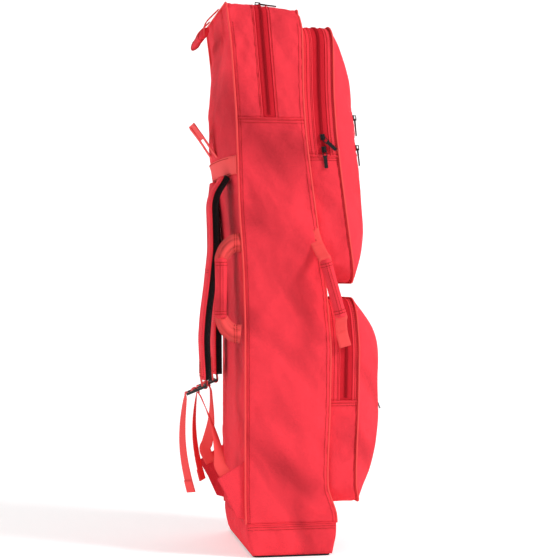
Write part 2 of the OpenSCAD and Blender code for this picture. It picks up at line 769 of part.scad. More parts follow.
// The webbing's loose tail hangs from the buckle's outer bar
tail_y = 0.8 * buckle_l + 8;
tail_drop = 196;
tail_bow = 9;
function tail_at(s, amount) = [wrap_y(amount) + tail_y * cos(buckle_tilt) + tail_bow * sin(180 * s) - 12 * s * s,
                               wrap_z + tail_y * sin(buckle_tilt) - 3 - tail_drop * s];
module strap_tail(x, amount) {
    steps = levels(0, 1, 10);
    color(webbing_red) along_x(x - webbing_w / 2, x + webbing_w / 2)
        polygon(concat([for (s = steps) tail_at(s, amount)],
                       [for (s = reversed(steps)) tail_at(s, amount) - [webbing_t, 0]]));
}
module strap_tail_left() {
    strap_tail(-strap_x, left_swell);
}
module strap_tail_right() {
    strap_tail(strap_x, right_swell);
}

// The webbing from the buckle down to the wing turns from facing back to facing sideways
webbing_clear = 9;
module strap_webbing(side, amount) {
    a = [side * strap_x, wrap_y(amount) + 10, wrap_z - 17];
    b = [side * (half_w - wing_inset - wing_t - 6), back_reach + wing_out - 9, wing_high - 26];
    function at(s) = a + (b - a) * s + [0, -webbing_clear * sin(180 * s), 0];
    steps = levels(0, 1, 24);
    color(webbing_red) ribbon([for (s = steps) at(s)],
                              [for (s = steps) [side * cos(90 * s * s), sin(90 * s * s), 0]],
                              webbing_w, webbing_t);
}
module strap_webbing_left() {
    strap_webbing(-1, left_swell);
}
module strap_webbing_right() {
    strap_webbing(1, right_swell);
}

back_panel();
front_panel();
side_panel_left();
side_panel_right();
hood_back();
hood_front();
boot();
base_panel();
base_board();
back_piping();
front_piping();
main_zip_tape();
main_zip_chain();
main_slider();
main_pull();
upper_pocket_face();
upper_pocket_gusset();
upper_pocket_lower_gusset();
upper_pocket_flap();
upper_pocket_zip();
upper_pocket_piping();
upper_slider_high();
upper_slider_low();
upper_pull_high();
upper_pull_low();
lower_pocket_face();
lower_pocket_gusset();
lower_pocket_lower_gusset();
lower_pocket_flap();
lower_pocket_zip();
lower_pocket_piping();
lower_slider();
lower_pull();
face_zips();
face_slider_high();
face_slider_low();
face_pull_high();
face_pull_low();
front_slider_high();
front_slider_low();
front_pull_high();
front_pull_low();
yoke_band();
anchor_wings();
haul_loop();
top_handle_webbing();
top_handle_grip();
back_handle();
front_handle();
strap_cover_left();
strap_foam_left();
strap_cover_right();
strap_foam_right();
buckle_left();
buckle_right();
strap_tail_left();
strap_tail_right();
strap_webbing_left();
strap_webbing_right();
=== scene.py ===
"""Tall hockey kit bag: the sewn shell, its pockets, zips, handles and shoulder straps."""

import json
import math

import bmesh
import bpy
import numpy as np
from bpy.props import FloatProperty, FloatVectorProperty, IntProperty, PointerProperty
from mathutils import Matrix, Vector, noise
from mathutils.bvhtree import BVHTree


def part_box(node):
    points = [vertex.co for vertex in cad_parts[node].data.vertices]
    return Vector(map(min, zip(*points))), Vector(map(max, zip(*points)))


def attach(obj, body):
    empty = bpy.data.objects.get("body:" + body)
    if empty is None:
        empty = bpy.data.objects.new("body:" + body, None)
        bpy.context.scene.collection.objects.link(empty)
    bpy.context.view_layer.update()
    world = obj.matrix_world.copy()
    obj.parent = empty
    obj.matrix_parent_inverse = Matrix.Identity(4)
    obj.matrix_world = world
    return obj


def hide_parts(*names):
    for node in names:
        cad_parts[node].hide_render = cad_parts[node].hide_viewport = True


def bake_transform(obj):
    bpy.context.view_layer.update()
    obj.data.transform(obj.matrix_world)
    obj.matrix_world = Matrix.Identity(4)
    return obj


bl_info = {
    "name": "Hockey Kit Bag",
    "version": (1, 0, 0),
    "blender": (4, 5, 0),
    "location": "View3D > Sidebar > Kit Bag",
    "description": "Builds the fabric, webbing and zips of a tall hockey kit bag",
    "category": "Object",
}

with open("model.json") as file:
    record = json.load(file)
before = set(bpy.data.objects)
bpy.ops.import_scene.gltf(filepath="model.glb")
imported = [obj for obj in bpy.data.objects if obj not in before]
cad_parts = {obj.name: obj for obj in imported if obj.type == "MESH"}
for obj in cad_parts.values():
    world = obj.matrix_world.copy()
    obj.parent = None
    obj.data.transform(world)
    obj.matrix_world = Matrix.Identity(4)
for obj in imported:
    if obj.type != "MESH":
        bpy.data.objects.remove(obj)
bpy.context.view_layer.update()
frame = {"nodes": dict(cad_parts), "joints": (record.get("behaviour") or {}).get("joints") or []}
NODES = frame["nodes"]
MM = 0.001


# ---------------------------------------------------------------- sizes read from the frame

def node_points(name):
    """The corners of a CAD node, as an array of points."""
    mesh = NODES[name].data
    points = np.zeros(len(mesh.vertices) * 3)
    mesh.vertices.foreach_get("co", points)
    return points.reshape(-1, 3)


def edge_line(piping, pick, low_pick):
    """Height and depth along one edge of the body: the piping's inner side, and the boot's own edge."""
    line = {}
    sign = low_pick(-1, 1)
    for node, choose in ((piping, pick), ("boot", low_pick)):
        for _, y, z in node_points(node):
            if y * sign < 0 and node == "boot":
                continue
            key = round(z, 4)
            line[key] = y if key not in line else choose(line[key], y)
    heights = sorted(line)
    return np.array(heights), np.array([line[h] for h in heights])


BACK_LINE = edge_line("back_piping", min, max)
FRONT_LINE = edge_line("front_piping", max, min)
RIGHT_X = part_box("side_panel_right")[1].x
HOOD_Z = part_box("side_panel_left")[1].z
BOOT_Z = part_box("boot")[1].z
BASE_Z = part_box("boot")[0].z
PIPING_R = (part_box("back_piping")[1].x - RIGHT_X + 3 * MM) / 2
EASE = 22 * MM
RIM_DROP = 4 * MM
STRAP_WEBBING_W = 25 * MM
HANDLE_WEBBING_T = 2.2 * MM
SIDE_GRIP_R = 11.8 * MM
BUCKLE_TILT = math.radians(-22)
FRONT_HANDLE_TILT = Matrix.Rotation(math.radians(-16), 3, "X")
CLOTH_STEPS = 16


def along(line, z):
    """Depth of an edge at a height, with its corners eased."""
    steps = [z + EASE * k / 4 for k in range(-4, 5)]
    return float(np.interp(steps, line[0], line[1]).mean())


def back_y(z):
    """Depth of the back edge at a height."""
    return along(BACK_LINE, z)


def front_y(z):
    """Depth of the front edge at a height."""
    return along(FRONT_LINE, z)


def blend_value(a, b, t):
    """A value that runs smoothly from a to b as t goes from 0 to 1."""
    t = min(1.0, max(0.0, t))
    return a + (b - a) * t * t * (3 - 2 * t)


def swing(*parts):
    """Smooth noise at a place, from -1 to 1."""
    return noise.noise(Vector(parts))


def creases(a, b, seed):
    """Soft slanting folds of filled fabric over a surface with coordinates a and b in metres, from -1 to 1."""
    slant = (a + 0.55 * b, b - 0.35 * a)
    broad = swing(slant[0] * 9, slant[1] * 4.5, seed)
    fine = swing(slant[0] * 34, slant[1] * 15, seed + 7)
    ridge = 0.5 - 2.4 * abs(swing(slant[0] * 14, slant[1] * 5.5, seed + 3))
    patch = 0.5 + 0.5 * swing(a * 5, b * 3, seed + 11)
    return 0.45 * broad + (0.24 * fine + 0.5 * ridge) * patch


# ---------------------------------------------------------------- settings

class BagFabric(bpy.types.PropertyGroup):
    """Sizes and colours of the sewn shell."""
    color: FloatVectorProperty(name="Fabric", description="Colour of the polyester shell", subtype="COLOR",
                               size=3, min=0, max=1, default=(0.86, 0.046, 0.066))
    webbing_color: FloatVectorProperty(name="Webbing", description="Colour of the webbing and piping",
                                       subtype="COLOR", size=3, min=0, max=1, default=(0.8, 0.034, 0.024))
    tape_color: FloatVectorProperty(name="Zip tape", description="Colour of the zip tapes and chains",
                                    subtype="COLOR", size=3, min=0, max=1, default=(0.42, 0.012, 0.02))
    fill: FloatProperty(name="Fill", description="How far the filled panels swell", unit="LENGTH",
                        default=7 * MM, min=0, max=20 * MM)
    crease: FloatProperty(name="Creases", description="Depth of the soft folds", unit="LENGTH",
                          default=8 * MM, min=0, max=12 * MM)
    wall: FloatProperty(name="Wall", description="Thickness of the fabric with its lining", unit="LENGTH",
                        default=1.6 * MM, min=0.5 * MM, max=4 * MM)


class BagTrim(bpy.types.PropertyGroup):
    """Sizes of stitches, zips and webbing."""
    stitch: FloatProperty(name="Stitch", description="Length of a stitch", unit="LENGTH", default=3 * MM)
    stitch_gap: FloatProperty(name="Stitch gap", description="Space between stitches", unit="LENGTH",
                              default=1.3 * MM)
    tooth: FloatProperty(name="Tooth pitch", description="Distance between a zip's teeth", unit="LENGTH",
                         default=2.6 * MM)
    webbing_t: FloatProperty(name="Webbing thickness", description="Thickness of the webbing", unit="LENGTH",
                             default=1.8 * MM)
    around: IntProperty(name="Tube sides", description="Sides of a piping tube", default=10, min=6, max=24)


class BagStage(bpy.types.PropertyGroup):
    """Camera and studio."""
    azimuth: FloatProperty(name="Azimuth", description="Direction that the camera looks from",
                           subtype="ANGLE", default=math.radians(260))
    distance: FloatProperty(name="Distance", description="From the camera to the bag's middle", unit="LENGTH",
                            default=3.02)
    lens: FloatProperty(name="Lens", description="Focal length in millimetres", default=92)


def settings():
    """The three groups of settings."""
    scene = bpy.context.scene
    return scene.bag_fabric, scene.bag_trim, scene.bag_stage


# ---------------------------------------------------------------- mesh helpers

def loose_object(name, bm):
    """Makes an object of a bmesh and puts it in the scene."""
    mesh = bpy.data.meshes.new(name)
    bm.to_mesh(mesh)
    bm.free()
    piece = bpy.data.objects.new(name, mesh)
    bpy.context.scene.collection.objects.link(piece)
    return piece


def straight(start, end, steps):
    """Points along a straight line."""
    return [Vector([a + (b - a) * k / steps for a, b in zip(start, end)]) for k in range(steps + 1)]


def finish_piece(name, bm, material, body, slot, replaced=(), thickness=0.0, outward=None, smooth=True,
                 ride=True):
    """Makes an object of a bmesh, gives it its finish and a wall, and lets it ride on a body."""
    if outward is not None:
        facing = sum((f.normal.dot(outward(f.calc_center_median())) * f.calc_area() for f in bm.faces), 0.0)
        if facing < 0:
            bmesh.ops.reverse_faces(bm, faces=bm.faces)
    piece = loose_object(name, bm)
    piece.data.materials.append(material)
    if smooth:
        piece.data.shade_smooth()
    if thickness:
        wall = piece.modifiers.new("wall", "SOLIDIFY")
        wall.thickness = thickness
        wall.offset = -1
    if ride:
        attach(piece, body)
    if replaced:
        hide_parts(*replaced)
    return piece


def panel(shape, across, up):
    """A patch of fabric: shape(u, w) gives the place of each point of a grid, with u and w from 0 to 1."""
    bm = bmesh.new()
    bmesh.ops.create_grid(bm, x_segments=across, y_segments=up, size=0.5)
    for vert in bm.verts:
        vert.co = shape(vert.co.x + 0.5, vert.co.y + 0.5)
    bm.normal_update()
    return bm


def smooth_route(points, per=8):
    """A smooth line through points (a Catmull-Rom curve)."""
    points = [Vector(p) for p in points]
    ends = [points[0] * 2 - points[1]] + points + [points[-1] * 2 - points[-2]]
    route = []
    for i in range(1, len(ends) - 2):
        p0, p1, p2, p3 = ends[i - 1:i + 3]
        for k in range(per):
            t = k / per
            route.append(0.5 * ((2 * p1) + (p2 - p0) * t + (2 * p0 - 5 * p1 + 4 * p2 - p3) * t * t
                                + (3 * p1 - p0 - 3 * p2 + p3) * t * t * t))
    route.append(points[-1])
    return route


def spaced(route, step):
    """Points along a route, one every step, each with its direction."""
    route = [Vector(p) for p in route]
    lengths = np.cumsum([0.0] + [(b - a).length for a, b in zip(route, route[1:])])
    count = max(2, int(round(lengths[-1] / step)) + 1)
    spots = []
    for s in np.linspace(0, lengths[-1], count):
        i = min(len(route) - 2, max(0, int(np.searchsorted(lengths, s)) - 1))
        share = (s - lengths[i]) / max(1e-9, lengths[i + 1] - lengths[i])
        spots.append((route[i].lerp(route[i + 1], share), (route[i + 1] - route[i]).normalized()))
    return spots


def close_sweep(bm, verts, closed=False):
    """Joins the long edges of a swept grid, closes its ends and turns its faces outwards."""
    bmesh.ops.remove_doubles(bm, verts=verts, dist=1e-6)
    kept = [v for v in verts if v.is_valid]
    if not closed:
        rims = {e for v in kept for e in v.link_edges if e.is_boundary}
        bmesh.ops.holes_fill(bm, edges=list(rims), sides=0)
    bmesh.ops.recalc_face_normals(bm, faces=list({f for v in kept for f in v.link_faces}))


def add_sweep(bm, route, section, across, closed=False):
    """Sweeps a section, a list of (sideways, outwards) offsets, along a route. across gives the sideways
    direction at a share of the route."""
    count, around = len(route), len(section)
    made = bmesh.ops.create_grid(bm, x_segments=around, y_segments=count - (0 if closed else 1), size=0.5)
    verts = made["verts"]
    for vert in verts:
        k = int(round((vert.co.x + 0.5) * around)) % around
        i = int(round((vert.co.y + 0.5) * (count if closed else count - 1))) % count
        if closed:
            ahead = route[(i + 1) % count] - route[i - 1]
        else:
            ahead = route[min(i + 1, count - 1)] - route[max(i - 1, 0)]
        ahead.normalize()
        side = across(i / max(1, count - 1))
        side = (side - ahead * side.dot(ahead)).normalized()
        out = ahead.cross(side)
        vert.co = route[i] + side * section[k][0] + out * section[k][1]
    close_sweep(bm, verts, closed)


def round_section(radius, sides):
    """A circle."""
    return [(radius * math.cos(2 * math.pi * k / sides), radius * math.sin(2 * math.pi * k / sides))
            for k in range(sides)]


def strap_section(width, thick):
    """A flat strap's section with soft edges and two shallow ribs."""
    w, t = width / 2, thick / 2
    top = [(-w + t, t), (-w / 2, t * 1.15), (0, t * 0.95), (w / 2, t * 1.15), (w - t, t)]
    return [(-w, 0)] + top + [(w, 0)] + [(x, -y) for x, y in reversed(top)]


def constant(*direction):
    """A direction that stays the same along a route."""
    fixed = Vector(direction)
    return lambda share: fixed


def turning(start, end, power=1.0):
    """A direction that turns from start to end along a route."""
    start, end = Vector(start), Vector(end)
    return lambda share: start.lerp(end, share ** power).normalized()


def surface_of(*pieces):
    """A search tree over the outer faces of pieces."""
    bm = bmesh.new()
    for piece in pieces:
        bm.from_mesh(piece.data)
    tree = BVHTree.FromBMesh(bm)
    bm.free()
    return tree


def lay_on(route, tree, lift, reach=0.03):
    """Moves a route's points on to a surface, lifted along its normal. Returns places and normals."""
    places, normals = [], []
    for point in route:
        spot, normal, _, _ = tree.find_nearest(point, reach)
        if spot is None:
            spot, normal = Vector(point), Vector((0, 0, 1))
        places.append(spot + normal * lift)
        normals.append(normal)
    return places, normals


def add_beads(bm, route, tree, length, width, height, step, lean=0.0):
    """Small rounded beads along a route on a surface: stitches, or the teeth of a zip."""
    for n, (place, ahead) in enumerate(spaced(route, step)):
        spot, normal, _, _ = tree.find_nearest(place, 0.03)
        if spot is None:
            continue
        ahead = (ahead - normal * ahead.dot(normal)).normalized()
        side = normal.cross(ahead)
        offset = side * lean * (1 if n % 2 else -1)
        turn = Matrix((ahead * length, side * width, normal * height)).transposed().to_4x4()
        turn.translation = spot + offset + normal * (height * 0.3)
        bead = bmesh.ops.create_cube(bm, size=1.0, matrix=turn)
        faces = list({f for v in bead["verts"] for f in v.link_faces})
        top = max(faces, key=lambda f: f.calc_center_median().dot(normal))
        bmesh.ops.inset_individual(bm, faces=[top], thickness=min(length, width) * 0.28)
        bmesh.ops.translate(bm, verts=top.verts, vec=normal * height * 0.25)


def stitch_lines(name, lines, pieces, body):
    """Rows of stitches on finished pieces."""
    _, trim, _ = settings()
    tree = surface_of(*pieces)
    bm = bmesh.new()
    for line in lines:
        add_beads(bm, line, tree, trim.stitch, 1 * MM, 0.6 * MM, trim.stitch + trim.stitch_gap)
    finish_piece(name, bm, thread_finish(), body, "webbing", smooth=False)


def zip_teeth(name, lines, pieces, body):
    """The coil of a zip: two rows of teeth that lock between each other."""
    _, trim, _ = settings()
    tree = surface_of(*pieces)
    bm = bmesh.new()
    for line in lines:
        add_beads(bm, line, tree, trim.tooth * 0.42, 4.4 * MM, 1.9 * MM, trim.tooth / 2, lean=1.0 * MM)
    return finish_piece(name, bm, chain_finish(), body, "zip_tape", smooth=False)


# ---------------------------------------------------------------- materials

def cloth_group():
    """Threads, mottling, dust and painted fold shade of woven cloth, from the place in the piece."""
    if "Woven cloth" in bpy.data.node_groups:
        return bpy.data.node_groups["Woven cloth"]
    group = bpy.data.node_groups.new("Woven cloth", "ShaderNodeTree")
    face = group.interface
    face.new_socket("Color", in_out="INPUT", socket_type="NodeSocketColor")
    for label, value in (("Pitch", 0.0016), ("Mottle", 0.2), ("Grain", 0.3), ("Folds", 0.0)):
        socket = face.new_socket(label, in_out="INPUT", socket_type="NodeSocketFloat")
        socket.default_value = value
    face.new_socket("Color", in_out="OUTPUT", socket_type="NodeSocketColor")
    face.new_socket("Roughness", in_out="OUTPUT", socket_type="NodeSocketFloat")
    face.new_socket("Height", in_out="OUTPUT", socket_type="NodeSocketFloat")
    nodes, links = group.nodes, group.links
    given, out = nodes.new("NodeGroupInput"), nodes.new("NodeGroupOutput")

    def math_node(operation, a, b=None):
        node = nodes.new("ShaderNodeMath")
        node.operation = operation
        for i, value in enumerate((a, b)):
            if isinstance(value, (int, float)):
                node.inputs[i].default_value = value
            elif value is not None:
                links.new(value, node.inputs[i])
        return node.outputs[0]

    place = nodes.new("ShaderNodeTexCoord").outputs["Object"]
    parts = nodes.new("ShaderNodeSeparateXYZ")
    links.new(place, parts.inputs[0])
    across = math_node("ADD", parts.outputs["X"], parts.outputs["Y"])
    turn = math_node("DIVIDE", 2 * math.pi, given.outputs["Pitch"])
    warp = math_node("SINE", math_node("MULTIPLY", across, turn))
    weft = math_node("SINE", math_node("MULTIPLY", parts.outputs["Z"], turn))
    threads = math_node("MULTIPLY", warp, weft)

    def noise_node(scale, detail):
        node = nodes.new("ShaderNodeTexNoise")
        node.inputs["Scale"].default_value = scale
        node.inputs["Detail"].default_value = detail
        links.new(place, node.inputs["Vector"])
        return math_node("SUBTRACT", node.outputs["Fac"], 0.5)

    # Painted fold shade: a slanted, stretched noise darkens the colour in broad diagonal streaks where soft
    # folds would be in shade; the same noise also adds to the bump relief.
    slant = nodes.new("ShaderNodeMapping")
    slant.vector_type = "TEXTURE"
    slant.inputs["Rotation"].default_value = (math.radians(57), 0, 0)
    slant.inputs["Scale"].default_value = (0.2, 0.26, 0.09)
    links.new(place, slant.inputs["Vector"])
    folds = nodes.new("ShaderNodeTexNoise")
    folds.inputs["Scale"].default_value = 1
    folds.inputs["Detail"].default_value = 2
    folds.inputs["Distortion"].default_value = 0.35
    links.new(slant.outputs["Vector"], folds.inputs["Vector"])
    fold = math_node("SUBTRACT", folds.outputs["Fac"], 0.5)
    # The painted fold shade: only the dark side of the fold noise, scaled by the fold strength.
    shade = math_node("MULTIPLY", math_node("MINIMUM", fold, 0.03), given.outputs["Folds"])
    rumple = math_node("ADD", math_node("MULTIPLY", noise_node(34, 4), 9),
                       math_node("MULTIPLY", math_node("MULTIPLY", fold, given.outputs["Folds"]), 40))
    mottle = math_node("MULTIPLY", noise_node(9, 5), given.outputs["Mottle"])
    grain = math_node("MULTIPLY", noise_node(640, 2), given.outputs["Grain"])
    weave = math_node("MULTIPLY", threads, math_node("MULTIPLY", given.outputs["Grain"], 0.22))
    # Colour value: mottling, grain and weave, with the painted fold shade added.
    value = math_node("ADD", math_node("ADD", mottle, grain),
                      math_node("ADD", weave, math_node("ADD", shade, 1.02)))
    tone = nodes.new("ShaderNodeHueSaturation")
    links.new(given.outputs["Color"], tone.inputs["Color"])
    links.new(value, tone.inputs["Value"])
    links.new(tone.outputs["Color"], out.inputs["Color"])
    links.new(math_node("ADD", math_node("MULTIPLY", mottle, 0.5), 0.78), out.inputs["Roughness"])
    relief = math_node("ADD", math_node("MULTIPLY", threads, 0.5), math_node("MULTIPLY", grain, 3))
    links.new(math_node("ADD", relief, rumple), out.inputs["Height"])
    return group


def cloth_finish(name, color, pitch=1.5 * MM, mottle=0.16, grain=0.5, depth=0.5 * MM, sheen=0.0, folds=0.0):
    """A woven material."""
    if name in bpy.data.materials:
        return bpy.data.materials[name]
    material = bpy.data.materials.new(name)
    material.use_nodes = True
    nodes, links = material.node_tree.nodes, material.node_tree.links
    shader = nodes["Principled BSDF"]
    cloth = nodes.new("ShaderNodeGroup")
    cloth.node_tree = cloth_group()
    cloth.inputs["Color"].default_value = (*color, 1)
    cloth.inputs["Pitch"].default_value = pitch
    cloth.inputs["Mottle"].default_value = mottle
    cloth.inputs["Grain"].default_value = grain
    # Strength of the painted fold shade in the colour, and of the matching bump relief.
    cloth.inputs["Folds"].default_value = folds
    links.new(cloth.outputs["Color"], shader.inputs["Base Color"])
    links.new(cloth.outputs["Roughness"], shader.inputs["Roughness"])
    relief = nodes.new("ShaderNodeBump")
    relief.inputs["Strength"].default_value = 0.8
    relief.inputs["Distance"].default_value = depth
    links.new(cloth.outputs["Height"], relief.inputs["Height"])
    links.new(relief.outputs["Normal"], shader.inputs["Normal"])
    shader.inputs["Sheen Weight"].default_value = sheen
    shader.inputs["Sheen Roughness"].default_value = 0.5
    shader.inputs["Specular IOR Level"].default_value = 0.04
    return material


def fabric_finish():
    """The polyester shell, with painted fold shade in its colour."""
    return cloth_finish("shell fabric", tuple(settings()[0].color), folds=1.6)


def webbing_finish():
    """Webbing and piping: a coarser, brighter weave."""
    return cloth_finish("webbing", tuple(settings()[0].webbing_color), pitch=2.4 * MM,
                        depth=0.6 * MM, sheen=0.1)


def tape_finish():
    """Zip tape."""
    return cloth_finish("zip tape", tuple(v * 1.5 for v in settings()[0].tape_color), pitch=1.2 * MM,
                        mottle=0.1)


def chain_finish():
    """The coil of a zip."""
    return cloth_finish("zip coil", tuple(settings()[0].tape_color), pitch=2 * MM, mottle=0.1)


def thread_finish():
    """Sewing thread."""
    return cloth_finish("thread", tuple(v * 0.5 for v in settings()[0].webbing_color),
                        pitch=0.8 * MM, mottle=0.1)


def mesh_finish():
    """The black spacer mesh under the straps."""
    return cloth_finish("spacer mesh", (0.008, 0.006, 0.007), pitch=3.6 * MM, mottle=0.5, grain=1.6,
                        depth=1.2 * MM, sheen=0.1)


def rubber_finish():
    """The black coated cloth of the base."""
    return cloth_finish("base cloth", (0.014, 0.013, 0.015), pitch=1.8 * MM, mottle=0.4, grain=0.8, sheen=0.1)


def hard_finish(name, color, roughness, metal=0.0, wear=0.12):
    """Moulded plastic, enamelled metal or board, with fine wear."""
    if name in bpy.data.materials:
        return bpy.data.materials[name]
    material = bpy.data.materials.new(name)
    material.use_nodes = True
    nodes, links = material.node_tree.nodes, material.node_tree.links
    shader = nodes["Principled BSDF"]
    shader.inputs["Base Color"].default_value = (*color, 1)
    shader.inputs["Metallic"].default_value = metal
    place = nodes.new("ShaderNodeTexCoord")
    speckle = nodes.new("ShaderNodeTexNoise")
    speckle.inputs["Scale"].default_value = 260
    speckle.inputs["Detail"].default_value = 4
    links.new(place.outputs["Object"], speckle.inputs["Vector"])
    spread = nodes.new("ShaderNodeMapRange")
    spread.inputs["To Min"].default_value = roughness - wear
    spread.inputs["To Max"].default_value = roughness + wear
    links.new(speckle.outputs["Fac"], spread.inputs["Value"])
    links.new(spread.outputs["Result"], shader.inputs["Roughness"])
    return material


def plastic_finish():
    """Black moulded plastic."""
    return hard_finish("black plastic", (0.012, 0.012, 0.013), 0.42)


def enamel_finish():
    """Black enamelled zip metal."""
    return hard_finish("black enamel", (0.012, 0.011, 0.012), 0.34, metal=0.3)


# ---------------------------------------------------------------- the sewn shell

HALF_W = RIGHT_X
LEFT, RIGHT = -1, 1
HEM_Z = BASE_Z
TOP_BACK_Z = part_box("hood_back")[1].z
TOP_FRONT_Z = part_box("front_piping")[1].z - 4 * MM
HOOD_CORNER = 16 * MM
YOKE_Z, YOKE_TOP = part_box("yoke_band")[0].z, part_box("yoke_band")[1].z


def top_line():
    """The main zip's depth at the hood's seam and over the top."""
    points = node_points("main_zip_tape")
    low = points[points[:, 2] < HOOD_Z + 1 * MM]
    high = points[points[:, 2] > TOP_BACK_Z - 30 * MM]
    return ((low[:, 1].min() + low[:, 1].max()) / 2, (high[:, 1].min() + high[:, 1].max()) / 2,
            low[:, 1].max() - low[:, 1].min())


ZIP_LOW_Y, ZIP_TOP_Y, TAPE_W = top_line()


def zip_y(z):
    """Depth of the main zip at a height."""
    return ZIP_LOW_Y + (ZIP_TOP_Y - ZIP_LOW_Y) * (z - HOOD_Z) / (TOP_BACK_Z - HOOD_Z)


def top_height(share):
    """Height of the hood's top from its front edge (0) to its back edge (1)."""
    return float(np.interp(share, [0, 0.6, 1], [TOP_FRONT_Z, TOP_BACK_Z - 2 * MM, TOP_BACK_Z]))


BAND_ROWS = (("boot", 9), ("side", 112), ("hood", 29), ("corner", 5), ("top", 20))
BAND_COLUMNS = (14, 4, 9)


def shell_stations():
    """The rows of the shell from the hem to the middle of the top: (part, share of the part)."""
    rows = [("boot", 0.0)]
    for part, count in BAND_ROWS:
        rows += [(part, k / count) for k in range(1, count + 1)]
    return rows


STATIONS = shell_stations()


def station_place(station, high):
    """Half width and height of a row where the top is at a height."""
    part, t = station
    if part == "boot":
        return HALF_W, HEM_Z + (BOOT_Z - HEM_Z) * t
    if part == "side":
        return HALF_W, BOOT_Z + (HOOD_Z - BOOT_Z) * t
    if part == "hood":
        return HALF_W, HOOD_Z + (high - HOOD_CORNER - HOOD_Z) * t
    if part == "corner":
        angle = t * math.pi / 2
        return (HALF_W - HOOD_CORNER * (1 - math.cos(angle)), high - HOOD_CORNER * (1 - math.sin(angle)))
    return (HALF_W - HOOD_CORNER) * (1 - t), high


def column_share(column, z):
    """Share of the depth of a column of the band, so that two columns follow the main zip's tape."""
    level = max(z, HOOD_Z)
    flat = min(level, TOP_FRONT_Z - RIM_DROP)
    front, back = front_y(flat), back_y(flat)
    tape = [(zip_y(min(level, TOP_BACK_Z)) + o - front) / (back - front) for o in (-TAPE_W / 2, TAPE_W / 2)]
    a, b, c = BAND_COLUMNS
    return float(np.interp(column, [0, a, a + b, a + b + c], [0, *tape, 1]))


def band_place(row, column):
    """A place on the band that runs up the left side, over the top and down the right side."""
    last = len(STATIONS) - 1
    side = LEFT if row <= last else RIGHT
    station = STATIONS[row if row <= last else 2 * last - row]
    share = column_share(column, station_place(station, TOP_BACK_Z)[1])
    x, z = station_place(station, top_height(share))
    level = min(z, top_height(share) - RIM_DROP)
    front, back = front_y(level), back_y(level)
    return Vector((side * x, front + (back - front) * share, z))


def end_place(row, column, columns, share):
    """A place on the back (share 1) or the front (share 0) of the shell."""
    high = top_height(share)
    x, z = station_place(STATIONS[row], high)
    level = min(z, high - RIM_DROP)
    return Vector((x * (2 * column / columns - 1), back_y(level) if share else front_y(level), z))


REGIONS = ["side_panel_left", "side_panel_right", "hood_back", "hood_front", "main_zip_tape", "boot",
           "back_panel", "front_panel"]


def shell_region(place, kind):
    """The panel that a place on the shell belongs to."""
    if place.z < BOOT_Z:
        return "boot"
    if kind != "band":
        return kind
    if place.z < HOOD_Z:
        return "side_panel_left" if place.x < 0 else "side_panel_right"
    off = place.y - zip_y(min(place.z, TOP_BACK_Z))
    if abs(off) < TAPE_W / 2:
        return "main_zip_tape"
    return "hood_back" if off > 0 else "hood_front"


def inflate(piece, pinned, pressure, growth, cap):
    """Lets a cloth piece swell between its pinned seams, and caps how far each point moves."""
    start = np.zeros(len(piece.data.vertices) * 3)
    piece.data.vertices.foreach_get("co", start)
    start = start.reshape(-1, 3)
    group = piece.vertex_groups.new(name="pinned")
    for index, weight in pinned.items():
        group.add([index], weight, "REPLACE")
    cloth = piece.modifiers.new("cloth", "CLOTH")
    setup = cloth.settings
    setup.quality = 5
    setup.mass = 0.3
    setup.tension_stiffness = setup.compression_stiffness = 18
    setup.shear_stiffness = 8
    setup.bending_stiffness = 2.2
    setup.air_damping = 4
    setup.use_pressure = True
    setup.uniform_pressure_force = pressure
    setup.shrink_min = setup.shrink_max = -growth
    setup.vertex_group_mass = "pinned"
    setup.effector_weights.gravity = 0
    cloth.collision_settings.use_collision = False
    cloth.point_cache.frame_start = 1
    cloth.point_cache.frame_end = CLOTH_STEPS
    for number in range(1, CLOTH_STEPS + 1):
        bpy.context.scene.frame_set(number)
    graph = bpy.context.evaluated_depsgraph_get()
    moved = np.zeros(len(start) * 3)
    piece.evaluated_get(graph).data.vertices.foreach_get("co", moved)
    moved = moved.reshape(-1, 3)
    piece.modifiers.remove(cloth)
    piece.vertex_groups.clear()
    bpy.context.scene.frame_set(1)
    shift = moved - start
    length = np.linalg.norm(shift, axis=1, keepdims=True)
    moved = start + shift * (cap * np.tanh(length / cap) / np.maximum(length, 1e-9))
    piece.data.vertices.foreach_set("co", moved.ravel())
    piece.data.update()


def add_creases(piece, depth, hold, seed):
    """Presses soft slanting folds into a piece; hold(place) is 0 at the seams and 1 away from them."""
    normals = [v.normal.copy() for v in piece.data.vertices]
    for vert, normal in zip(piece.data.vertices, normals):
        place = vert.co
        strength = hold(place)
        if strength > 0:
            vert.co = place + normal * depth * strength * creases(place.y + 0.6 * place.x, place.z, seed)
    piece.data.update()


def split_piece(piece, region_of, plan):
    """Cuts a finished surface into its panels. plan gives each panel's body, slot and thickness."""
    made = {}
    for name, (body, slot, thickness, material) in plan.items():
        bm = bmesh.new()
        bm.from_mesh(piece.data)
        bm.faces.ensure_lookup_table()
        layer = bm.faces.layers.int["region"]
        gone = [f for f in bm.faces if region_of[f[layer]] != name]
        bmesh.ops.delete(bm, geom=gone, context="FACES")
        made[name] = finish_piece(name + "_cloth", bm, material, body, slot, (name,), thickness=thickness)
    bpy.data.objects.remove(piece)
    return made


